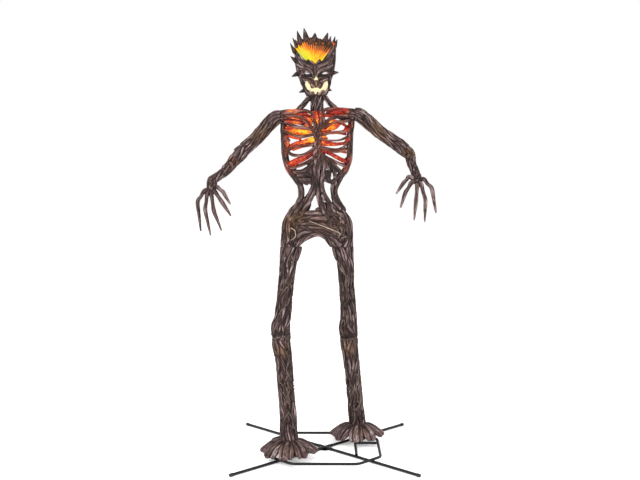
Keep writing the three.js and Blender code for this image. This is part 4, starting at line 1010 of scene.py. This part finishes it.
def trunk():
    """The chest's front and back, the embers in it, the waist and the pelvis."""
    embers = trunk_strands(EMBER_RIBS, sink=10)
    front = trunk_strands(COLUMNS + YOKE + RIBS + CENTRE + WAIST_ROOTS, tones=1)
    front += twins(front, 0.62, 0.5, 21)
    back = trunk_strands(COLUMNS + YOKE + RIBS + CENTRE[:3] + WAIST_ROOTS, back=True, tones=2)
    back += twins(back, 0.62, 0.5, 22)
    shoulders = collars()

    middle = np.array([0, TRUNK[1], 0])
    ends = [beneath(CHEST + SEAM), beyond(CHIN - 0.5)]
    ends += [(joint_at(f"shoulder_{side}"), [float(OUTWARD[side]), 0, 0]) for side in SIDES]
    look = dict(groove=1.8, lump=2.0, period=12, ease=2.5)
    lower, upper = CHEST, CHEST + 900
    rooted(
        "root_ribcage_front", clipped(front, lower, upper) + shoulders, 4.5, "root", ["ribcage_front"],
        cuts=[(middle, [0, 1, 0])] + ends, embers=embers, seed=3, **look,
    )
    rooted(
        "root_ribcage_back", clipped(back, lower, upper) + shoulders, 5.0, "root",
        ["ribcage_back_right", "ribcage_back_left"], cuts=[(middle, [0, -1, 0])] + ends, seed=4, **look,
    )
    piece = carved("ember_ribs", embers, 4.0, groove=1.6, lump=2.0, period=11, seed=5)
    finish(piece, EMBER, "ember", "root", "chest_ember_panel")

    hips, crossing = pelvis_strands()
    both = front + back
    rooted(
        "root_abdomen", clipped(both, WAIST, CHEST), 4.5, "root", ["abdomen_lattice"],
        cuts=[beyond(CHEST - SEAM), beneath(WAIST + SEAM)], groove=2.0, lump=2.0, period=12, ease=2.5, seed=3,
    )
    centre = np.array([TRUNK[0], TRUNK[1], 0])
    stains = [
        (centre + [-250, -110, 2080], 90, 0.7), (centre + [-150, -110, 2150], 70, 0.4),
        (centre + [190, -110, 2060], 60, 0.3), (centre + [30, -110, 2080], 80, 0.3),
    ]
    rooted(
        "root_pelvis", clipped(both, HIPS, WAIST) + hips + crossing, 5.0, "root", ["pelvis_shell"],
        cuts=[beyond(WAIST - SEAM), beneath(HIPS + SEAM)], groove=2.2, lump=2.6, ease=2.5, seed=3,
        stains=stains,
    )


# The pelvis's crossing roots, each with its radius, and the thin vines over them: across, and height.
ARCS = [
    ([(-215, 1832), (-130, 1925), (-45, 1974), (20, 1988), (90, 1950), (165, 1850)], 30),
    ([(-225, 1892), (-140, 1984), (-30, 2014), (50, 2014), (130, 1972), (200, 1890)], 32),
    ([(-235, 1960), (-140, 2030), (0, 2040), (120, 2010), (225, 1940)], 34),
    ([(-240, 2060), (-130, 2075), (20, 2062), (140, 2040), (235, 2000)], 34),
    ([(-215, 2130), (-110, 2128), (0, 2120), (110, 2110), (215, 2080)], 32),
    ([(-165, 2175), (-90, 2165), (20, 2165), (120, 2165), (195, 2140)], 28),
    ([(40, 2200), (90, 2180), (150, 2180), (180, 2190)], 26),
    ([(60, 2260), (70, 2200), (105, 2120), (140, 2040)], 24),
    ([(110, 2240), (130, 2170), (180, 2100), (215, 2010)], 22),
    ([(-150, 2250), (-170, 2190), (-200, 2120), (-235, 2050)], 22),
    ([(-100, 2200), (-120, 2160), (-150, 2090), (-180, 2010)], 20),
]
PELVIS_VINES = [
    ([(-63, 2100), (40, 2063), (129, 2026), (210, 1989), (196, 1950)], 5),
    ([(151, 2218), (224, 2137), (217, 2085), (247, 2041), (300, 2048)], 5),
    ([(225, 1945), (291, 1967)], 6),
    ([(-248, 2041), (-196, 2019), (-189, 1959), (-248, 1915), (-300, 1885)], 4.5),
]


def hip_bundle(side):
    """The roots that run from the thigh over the hip to the waist."""
    out = OUTWARD[side]
    hip = ring_centre(f"thigh_shell_{side}", top=True)
    up = unit(hip - ring_centre(f"shin_shell_{side}", top=True))
    y = TRUNK[1]

    def x(across):
        return TRUNK[0] + out * across

    path = [
        hip - up * 50, hip + up * 20, [x(228) + 8, 0.5 * (hip[1] + y), 1980], [x(222) + 8, y, 2070],
        [x(172), y, 2160], [x(118), y, 2240], [x(106), y, 2300],
    ]
    return wrapped(path, [88, 92, 98, 96, 84, 68, 62], 20, 14, 0.16 * out, 41 + out, vines=9)


def pelvis_strands():
    """The hips' bundles, and the roots that cross between them."""
    hips = hip_bundle("right") + hip_bundle("left")
    bands = []
    rng = np.random.default_rng(8)
    for points, radius in ARCS:
        laid = on_trunk([(x, z - CHEST) for x, z in points], radius, sink=4)
        mirrored = [[x, 2 * TRUNK[1] - y, z] for x, y, z in laid]
        for path in (laid, mirrored):
            bands.append(Strand(path, [radius * 0.8, radius, radius * 0.9], tone=rng.uniform(-0.4, 0.3)))
    bands += twins(bands, 0.7, 0.42, 9)
    for points, radius in PELVIS_VINES:
        laid = on_trunk([(x, z - CHEST) for x, z in points], radius, sink=-7)
        bands.append(Strand(laid, [radius], vine=1.0))
    for points, radii in (
        ([(-200, 2060), (0, 2085), (200, 2050)], [72, 62, 72]),
        ([(40, 2170), (120, 2150)], [60, 60]),
    ):
        bands.append(Strand([[TRUNK[0] + x, TRUNK[1], z] for x, z in points], radii, tone=-0.5))
    return hips, bands


def neck():
    """The neck and the two braces beside it."""
    path = [[TRUNK[0] + 5, TRUNK[1], CHEST + h] for h in (500, 560, 640, 700, 760)]
    strands = wrapped(path, [60, 60, 60, 66, 76], 15, 11, 0.12, 51, vines=2)
    for out, points in (
        (-1, [(-48, 728), (-98, 662), (-146, 612), (-196, 568)]),
        (1, [(62, 728), (112, 664), (166, 614), (220, 576)]),
    ):
        path = [[TRUNK[0] + x, TRUNK[1] - 6, CHEST + h] for x, h in points]
        strands += wrapped(path, [26, 25, 24, 26], 5, 11, 0.4, 55 + out, vines=0, partial=0.1)
    for strand in strands:
        strand.tone += 0.6
    cuts = [beyond(CHIN - 0.5)]
    look = dict(groove=2.0, lump=2.5, period=13, seed=10)
    rooted("root_neck", strands, 4.5, "root", ["neck_shell"], cuts=cuts, **look)


# ---------------------------------------------------------------- head
HEAD_LEVELS = [
    (-30, 66, 70, 56), (-5, 74, 78, 62), (30, 96, 102, 86), (80, 113, 122, 110), (130, 122, 132, 130), (
        190, 148, 140, 145
    ),
    (257, 166, 143, 153), (330, 172, 142, 156), (400, 174, 142, 156), (448, 176, 142, 156),
]


def face_y(x, z):
    """How far forward the head's core is, at points across and up from the chin."""
    levels = np.array(HEAD_LEVELS, float)
    wide = np.interp(z, levels[:, 0], levels[:, 1])
    deep = np.interp(z, levels[:, 0], levels[:, 2])
    share = np.clip(abs(x) / wide, 0, 0.98)
    return TRUNK[1] - deep * np.sqrt(1 - share ** (2 / 0.9))


def on_head(points, proud=0.0):
    """Points given across and up from the chin, laid on the front of the head."""
    return [[TRUNK[0] + lean(z) + x, face_y(x, z) - proud, CHIN + z] for x, z in points]


EYES = [
    [(-106, 197), (-84, 197), (-57, 188), (-52, 182), (-70, 179), (-98, 181)],
    [(50, 184), (56, 180), (86, 181), (101, 188), (96, 199), (74, 198)],
]
NOSE = [(-1, 163), (-14, 144), (-25, 124), (-4, 128), (18, 124), (12, 144)]
GRIN = [
    (-94, 126), (-101, 96), (-92, 74), (-79, 52), (-62, 42), (-47, 28), (-32, 34), (-21, 30), (-11, 8), (2, 12),
    (9, 33), (22, 24), (35, 28), (46, 42), (55, 46), (85, 42), (100, 70), (104, 94), (98, 126), (84, 118),
    (65, 99), (55, 73), (42, 56), (29, 53), (18, 62), (9, 66), (-4, 60), (-16, 66), (-30, 56), (-47, 58),
    (-57, 92), (-68, 100), (-77, 119),
]


def inside(points, outline):
    """Which of the points (across, up) lie within an outline."""
    x, z = points.T
    out = np.zeros(len(points), bool)
    for (x0, z0), (x1, z1) in zip(outline, outline[1:] + outline[:1]):
        crosses = (z0 > z) != (z1 > z)
        out ^= crosses & (x < (x1 - x0) * (z - z0) / (z1 - z0 + 1e-9) + x0)
    return out


def carve_face(p, hold):
    """Presses the eye, nose and mouth openings into the face."""
    local = p[:, [0, 2]] - [TRUNK[0], CHIN]
    front = p[:, 1] < TRUNK[1] - 40
    for outline, depth in [(EYES[0], 16), (EYES[1], 16), (NOSE, 14), (GRIN, 18)]:
        hit = front & inside(local, outline)
        floor = face_y(local[hit, 0], local[hit, 1]) + depth
        p[hit, 1] = np.maximum(p[hit, 1], floor)
    return p


def insert(name, outline, depth, thick=7):
    """A glowing plate that follows the face, set in an opening."""
    body = bmesh.new()
    face = body.faces.new([body.verts.new((x * MM, 0, z * MM)) for x, z in outline])
    bmesh.ops.triangulate(body, faces=[face])
    bmesh.ops.subdivide_edges(body, edges=body.edges[:], cuts=2, use_grid_fill=True)
    sheet = body.faces[:]
    result = bmesh.ops.extrude_face_region(body, geom=sheet)
    moved = [v for v in result["geom"] if isinstance(v, bmesh.types.BMVert)]
    for v in moved:
        v.co.y += thick * MM
    for v in body.verts:
        x, z = v.co.x / MM, v.co.z / MM
        v.co = Vector(((TRUNK[0] + x) * MM, v.co.y + (float(face_y(x, z)) + depth) * MM, (CHIN + z) * MM))
    bmesh.ops.recalc_face_normals(body, faces=body.faces[:])
    mesh = bpy.data.meshes.new(name)
    body.to_mesh(mesh)
    body.free()
    return linked(name, mesh)


def spike(base, tip, radius):
    """A dark thorn, a little thicker than the radius at its base."""
    base, tip = np.asarray(base, float), np.asarray(tip, float)
    wide = 1.25 * radius
    points = [base - 0.1 * (tip - base), base, 0.5 * (base + tip), tip - 0.04 * (tip - base)]
    return Strand(points, [0.8 * wide, wide, 0.58 * wide, 3.4], tone=-2.0)


# The roots of one half of the face, mirrored for the other: points, radii, how proud they are, and tone.
# They sweep up from the nose and the brows to the crown, and down over the cheeks and the jaw.
FACE_ROOTS = [
    ([(14, 160), (30, 205), (70, 226), (112, 236), (150, 262)], [11, 15, 17, 15, 12], 7, 0.3),
    ([(8, 180), (26, 222), (60, 250), (108, 284), (154, 344)], [9, 13, 14, 14, 12], 5, 0.4),
    ([(4, 200), (18, 240), (40, 258), (68, 272), (108, 312), (152, 400)], [8, 11, 11, 11, 12, 11], 4, 0.1),
    ([(46, 214), (92, 252), (138, 306), (160, 380)], [9, 12, 13, 12], 3, 0.5),
    ([(6, 170), (4, 215), (12, 262), (34, 286)], [9, 10, 10, 9], 6, 0.0),
    ([(110, 186), (128, 160), (120, 120), (110, 70), (84, 24), (56, -14)], [15, 16, 15, 13, 13, 12], 4, 0.0),
    ([(150, 250), (146, 200), (132, 150), (124, 100)], [14, 17, 15, 12], 2, -0.2),
    ([(118, 178), (92, 160), (56, 150), (26, 138), (20, 118)], [10, 10, 8, 8, 7], 5, 0.2),
    ([(104, 140), (82, 132), (58, 120), (34, 108), (20, 92)], [8, 9, 9, 9, 8], 5, 0.2),
    ([(22, 118), (34, 92), (26, 76), (8, 74)], [8, 9, 8, 7], 6, 0.3),
    ([(100, 60), (78, 26), (52, 6), (34, -20)], [11, 12, 12, 11], 5, 0.1),
    ([(58, 34), (36, 8), (22, -26)], [8, 10, 9], 4, 0.3),
    ([(168, 300), (160, 250), (142, 200)], [12, 13, 12], 1, -0.2),
    ([(20, 172), (50, 166), (84, 164), (112, 168)], [8, 10, 10, 8], 4, -3.5),
]
MIDDLE_ROOTS = [
    ([(0, 150), (1, 190), (-2, 230), (2, 262)], [8, 11, 11, 9], 7, 0.2),
    ([(0, 84), (2, 100), (-1, 112)], [10, 12, 9], 7, 0.2),
    ([(-4, -4), (0, -22), (2, -30)], [9, 10, 9], 4, 0.3),
]
WINDOW_RIM = [
    ([(-178, 372), (-150, 326), (-112, 292), (-80, 276), (-44, 266)], [12, 12, 10, 9, 8], 5, 0.3),
    ([(160, 420), (138, 376), (108, 322), (76, 284), (40, 262)], [14, 13, 11, 10, 8], 5, 0.3),
]
# The crown's front spikes: base, tip, radius, and how far round to the front they stand.
RIM_SPIKES = [
    ((-190, 392), (-225, 464), 16, 0.45), ((-172, 440), (-200, 500), 15, 0.7), (
        (-136, 468), (-160, 562), 22, 0.85
    ),
    ((-80, 486), (-100, 582), 24, 0.95), ((-6, 480), (-2, 536), 27, 1.0), ((92, 478), (112, 540), 22, 0.95),
    ((122, 452), (140, 516), 18, 0.75), ((152, 396), (184, 456), 20, 0.4),
]
SIDE_SPIKES = [
    ((-166, 300), (-224, 350), 20), ((-150, 200), (-214, 168), 21), ((-100, 50), (-148, 28), 17),
    ((148, 204), (212, 206), 20), ((104, 62), (146, 44), 17), ((160, 330), (172, 372), 16),
]


def laid_on_head(table, mirror=1):
    return [
        Strand(on_head([(mirror * x, z) for x, z in points], proud), radii, tone=tone)
        for points, radii, proud, tone in table
    ]


def scalp(rng):
    """Roots up the sides and the back of the head."""
    levels = np.array(HEAD_LEVELS, float)
    out = []
    for k in range(26):
        a = math.radians(76 + k * (208 / 25)) + rng.uniform(-0.04, 0.04)
        points = []
        for z in (-20, 40, 120, 200, 290, 380, 440):
            wide, front, rear = (np.interp(z, levels[:, 0], levels[:, i]) for i in (1, 2, 3))
            b = a + rng.uniform(-0.07, 0.07)
            y = -math.cos(b) * (front if math.cos(b) > 0 else rear)
            points.append([TRUNK[0] + lean(z) + math.sin(b) * wide, TRUNK[1] + y, CHIN + z])
        out.append(Strand(points, [8, 11, 13, 14, 13, 13, 12], tone=rng.uniform(-0.4, 0.4)))
    return out


def spikes(rng):
    """The spikes of the crown's rim, front and back, and a few that stand out at the sides."""
    x, y = TRUNK[0], TRUNK[1]
    out = []
    for (x0, z0), (x1, z1), radius, ahead in RIM_SPIKES:
        depth = y - 142 * ahead
        base = [x + x0 * 0.97 - 9, depth + 8, CHIN + z0 - 8]
        out.append(spike(base, [x + x1 - 9, depth - 6, CHIN + z1], radius))
    for k in range(9):
        a = math.radians(96 + k * 21) + rng.uniform(-0.06, 0.06)
        tall = rng.uniform(500, 560)
        ends = [
            [x + math.sin(a) * r, y - math.cos(a) * r * 0.88, CHIN + z] for r, z in ((164, 440), (190, tall))
        ]
        out.append(spike(*ends, rng.uniform(16, 21)))
    for (x0, z0), (x1, z1), radius in SIDE_SPIKES:
        out.append(spike([x + x0 - 6, y - 30, CHIN + z0], [x + x1 - 8, y - 34, CHIN + z1], radius))
    return out


def flame():
    """Fluted tongues from the brow up to the rim, and a fluted dome that closes the crown."""
    tongues = []
    for k in range(17):
        share = k / 16
        foot_x, foot_z = -84 + 142 * share, 286 + 26 * math.sin(share * 9) + 10 * abs(share - 0.5)
        rise_x = -172 + 312 * share - foot_x
        rise_z = 440 + 44 * math.sin(math.pi * min(share * 1.15, 1)) ** 0.6 - foot_z
        points = [
            (foot_x + across * rise_x, foot_z + up * rise_z) for across,
            up in ((0, 0), (0.3, 0.35), (0.68, 0.7), (1, 1))
        ]
        hot = 1.02 - 0.38 * share
        heat = [hot + 0.03, hot - 0.07, hot - 0.44 - 0.06 * share, hot - 0.95]
        tongues.append(Strand(on_head(points, -2), [10, 15, 16, 15], heat=heat))
    centre = np.array([TRUNK[0], TRUNK[1], CHIN + 452])
    for k in range(18):
        a = 2 * math.pi * k / 18
        out = np.array([math.sin(a), -math.cos(a) * 0.9, 0])
        path = [centre + out * r + [0, 0, rise] for r, rise in ((156, -10), (120, 12), (60, 22), (0, 26))]
        tongues.append(Strand(path, [22, 26, 20, 14], heat=[0.12, 0.24, 0.36, 0.45]))
    tongues.append(Strand([centre + [-60, 0, -6], centre + [60, 0, -6]], [26], heat=0.4))
    piece = carved("flame_crown", tongues, 4.0, groove=2.5, lump=1.5, period=10, seed=13)
    finish(piece, FLAME, "flame", "head", "crown_flame_cup")


def head():
    """The skull's two halves, the flame in the crown, and the lit plates of the face."""
    rng = np.random.default_rng(61)
    strands = laid_on_head(FACE_ROOTS, -1) + laid_on_head(FACE_ROOTS) + laid_on_head(MIDDLE_ROOTS)
    strands += scalp(rng) + spikes(rng) + laid_on_head(WINDOW_RIM)
    stains = [([TRUNK[0], TRUNK[1] - 130, CHIN + 70], 75, 0.55)]
    look = dict(
        extra=[loft(HEAD_LEVELS)], groove=2.2, lump=2.4, period=12, stains=stains, push=carve_face, seed=12
    )
    middle = np.array([0, TRUNK[1], 0])
    ends = beneath(CHIN + 0.5), beyond(CHIN + 620)
    for half, voxel, rear in (("front", 4.0, 1), ("back", 4.5, -1)):
        cuts = [ends[0], (middle, [0, rear, 0]), ends[1]]
        rooted(f"root_skull_{half}", strands, voxel, "head", [f"skull_{half}"], cuts=cuts, **look)
    flame()
    finish(insert("glow_eye_right", EYES[0], 8), EYE, "glow", "head")
    finish(insert("glow_eye_left", EYES[1], 8), EYE, "glow", "head")
    finish(insert("glow_nose", NOSE, 6), PALE, "glow", "head")
    finish(insert("glow_grin", GRIN, 8), PALE, "glow", "head", "face_light_guide")


# ---------------------------------------------------------------- arms and hands
# Each finger's knuckle, middle joint and tip, from the wrist.
FINGERS = {
    "right": [
        [(52, -38, -62), (112, -88, -106), (172, -108, -204)],
        [(38, -52, -104), (104, -102, -192), (176, -108, -304)],
        [(6, -56, -118), (32, -96, -266), (94, -92, -430)],
        [(-28, -54, -116), (-42, -96, -256), (0, -82, -474)],
        [(-56, -46, -96), (-108, -80, -190), (-86, -66, -436)],
    ],
    "left": [
        [(-60, -40, 2), (-112, -92, -48), (-176, -112, -140)],
        [(-44, -54, -50), (-98, -98, -134), (-140, -112, -256)],
        [(6, -58, -70), (-8, -104, -206), (-22, -104, -366)],
        [(40, -56, -62), (72, -102, -196), (68, -104, -380)],
        [(62, -44, -18), (128, -88, -100), (164, -98, -304)],
    ],
}


def upper_arm(side, seed):
    out = OUTWARD[side]
    shoulder, elbow = joint_at(f"shoulder_{side}"), joint_at(f"elbow_{side}")
    upper = joint_axis(f"elbow_{side}")
    bend = shoulder + [out * 74, 0, 6]
    sag = np.array([0, 0, -34])
    path = [
        shoulder - [out * 24, 0, 0], shoulder + [out * 30, 0, 2], bend + 0.08 * (elbow - bend) + sag,
        bend + 0.4 * (elbow - bend) + sag, bend + 0.7 * (elbow - bend) + 0.4 * sag, elbow - upper * 60,
        elbow + upper * 24,
    ]
    strands = wrapped(path, [58, 64, 66, 62, 62, 66, 60], 16, 10, 0.25 * out, seed, vines=6)
    rooted(
        f"root_upper_arm_{side}", strands, 4.5, f"arm_{side}", [f"upper_arm_shell_{side}"],
        cuts=[(shoulder + [out * JOINT_SEAM, 0, 0], [-out, 0, 0]), (elbow - upper * JOINT_SEAM, upper)],
        stains=[(shoulder + 0.45 * (elbow - shoulder) + [0, -40, 0], 90, 0.55)],
        groove=2.2, lump=5, period=13, seed=seed,
    )


def forearm(side, seed):
    """The forearm, with three knots on its front near the elbow."""
    out = OUTWARD[side]
    elbow, wrist = joint_at(f"elbow_{side}"), joint_at(f"wrist_{side}")
    upper, forward = joint_axis(f"elbow_{side}"), joint_axis(f"wrist_{side}")
    turn = elbow + upper * 58
    span = wrist - turn
    drop = np.array([0, 0, -24] if side == "right" else [-4, 0, -14])
    path = [
        elbow - upper * 24, elbow + upper * 20, turn + 0.5 * drop, turn + 0.35 * span + drop,
        turn + 0.7 * span + 0.5 * drop, wrist + forward * 24,
    ]
    strands = wrapped(path, [58, 62, 53, 44, 40, 42], 13, 9, 0.3 * out, seed, vines=6)
    for share, lift in ((0.0, 22), (0.12, -18), (0.3, 14)):
        at = turn + share * span
        knot = [at + [out * lift, -34, 16], at + [out * lift * 1.3, -42, -6], at + [out * lift, -34, -30]]
        strands.append(Strand(knot, [12, 17, 11], tone=0.3))
    rooted(
        f"root_forearm_{side}", strands, 4.0, f"forearm_{side}", [f"forearm_shell_{side}"],
        cuts=[(elbow + upper * JOINT_SEAM, -upper), (wrist - forward * JOINT_SEAM, forward)],
        stains=[(elbow + upper * 40 + [0, -40, 0], 70, 0.45)],
        groove=2.2, lump=4, period=12, seed=seed,
    )


def hand(side, seed):
    """The palm, and five fingers of two roots each."""
    wrist, forward = joint_at(f"wrist_{side}"), joint_axis(f"wrist_{side}")
    rng = np.random.default_rng(seed)
    fingers = [np.array(points, float) - [9, 0, 0] for points in FINGERS[side]]
    centre = 0.8 * np.mean([points[0] for points in fingers], axis=0)
    palm = [wrist - forward * 20, wrist + forward * 12, wrist + 0.55 * centre, wrist + centre]
    strands = [Strand(palm, [34, 38, 42, 32], tone=-0.2)]
    cover = [wrist - forward * 24, wrist + forward * 10, wrist + 0.5 * centre, wrist + 0.95 * centre]
    strands += wrapped(cover, [40, 44, 49, 42], 11, 10, 0.1, seed + 1, vines=3, core=False)
    for knuckle, middle, end in fingers:
        root = 0.85 * centre + 0.15 * knuckle
        points = (root, knuckle, 0.5 * (knuckle + middle), middle, 0.5 * (middle + end), end)
        path = [wrist + p for p in points]
        strands.append(Strand(path, [22, 20, 16, 18, 14, 8], tone=rng.uniform(-0.2, 0.4), step=5))
        side_path = [wrist + 0.2 * centre] + [p + rng.uniform(-5, 5, 3) for p in path[:-1]]
        strands.append(Strand(side_path, [10, 12, 11, 9, 8, 5], tone=0.9, step=5))
    rooted(
        f"root_hand_{side}", strands, 3.2, f"hand_{side}", [f"hand_{side}"],
        cuts=[(wrist + forward * JOINT_SEAM, -forward)], groove=1.6, lump=2.0, period=9, relax=2, seed=seed,
    )


for number, name in enumerate(SIDES):
    foot(name, 101 + number)
    leg(name, 111 + 10 * number)
    upper_arm(name, 151 + 10 * number)
    forearm(name, 152 + 10 * number)
    hand(name, 153 + 10 * number)
trunk()
neck()
head()

# ---------------------------------------------------------------- carried-over nodes
FINISHES = {
    "black_steel": STEEL, "zinc": ZINC, "black_plastic": PLASTIC, "bark": BARK, "ember": EMBER,
    "flame": FLAME, "glow": PALE
}
for entry in frame["record"]["subparts"]:
    shown = frame["nodes"][entry["node"]]
    shown.data.materials.clear()
    shown.data.materials.append(FINISHES[entry["material_slot"]])

# ---------------------------------------------------------------- floor, light and camera
floor_mesh = bpy.data.meshes.new("floor")
floor_mesh.from_pydata([(-60, -30, 0), (60, -30, 0), (60, 90, 0), (-60, 90, 0)], [], [(0, 1, 2, 3)])
floor = linked("floor", floor_mesh)
ground = Nodes("pale_floor")
ground.set(
    Base_Color=(0.95, 0.95, 0.95, 1), Roughness=0.9, Emission_Color=(1, 1, 1, 1), Emission_Strength=0.35
)
floor.data.materials.append(ground.material)

world = bpy.data.worlds.new("studio")
bpy.context.scene.world = world
world.use_nodes = True
world.node_tree.nodes["Background"].inputs["Color"].default_value = (1, 1, 1, 1)
world.node_tree.nodes["Background"].inputs["Strength"].default_value = 1.0


def lamp(name, place, target, size, power):
    light = bpy.data.lights.new(name, "AREA")
    light.size = size
    light.energy = power
    made = linked(name, light)
    made.location = place
    made.rotation_euler = (Vector(target) - Vector(place)).to_track_quat("-Z", "Y").to_euler()


lamp("key", (-4.5, -6.0, 6.5), (0, 0, 2.0), 3.0, 420)
lamp("fill", (5.0, -5.0, 4.0), (0, 0, 2.0), 3.0, 180)

FOCAL_MM = 48.5
CAMERA_PLACE = (0, -7.803, EYE_LEVEL * MM)
YAW_DEG, PITCH_DEG = -0.329, 3.286

lens = bpy.data.cameras.new("camera")
lens.sensor_width = 36
lens.lens = FOCAL_MM
camera = linked("camera", lens)
camera.location = CAMERA_PLACE
yaw, pitch = math.radians(YAW_DEG), math.radians(PITCH_DEG)
aim = Vector((math.sin(yaw) * math.cos(pitch), math.cos(yaw) * math.cos(pitch), -math.sin(pitch)))
camera.rotation_euler = aim.to_track_quat("-Z", "Y").to_euler()
bpy.context.scene.camera = camera
bpy.context.scene.view_settings.view_transform = "Standard"
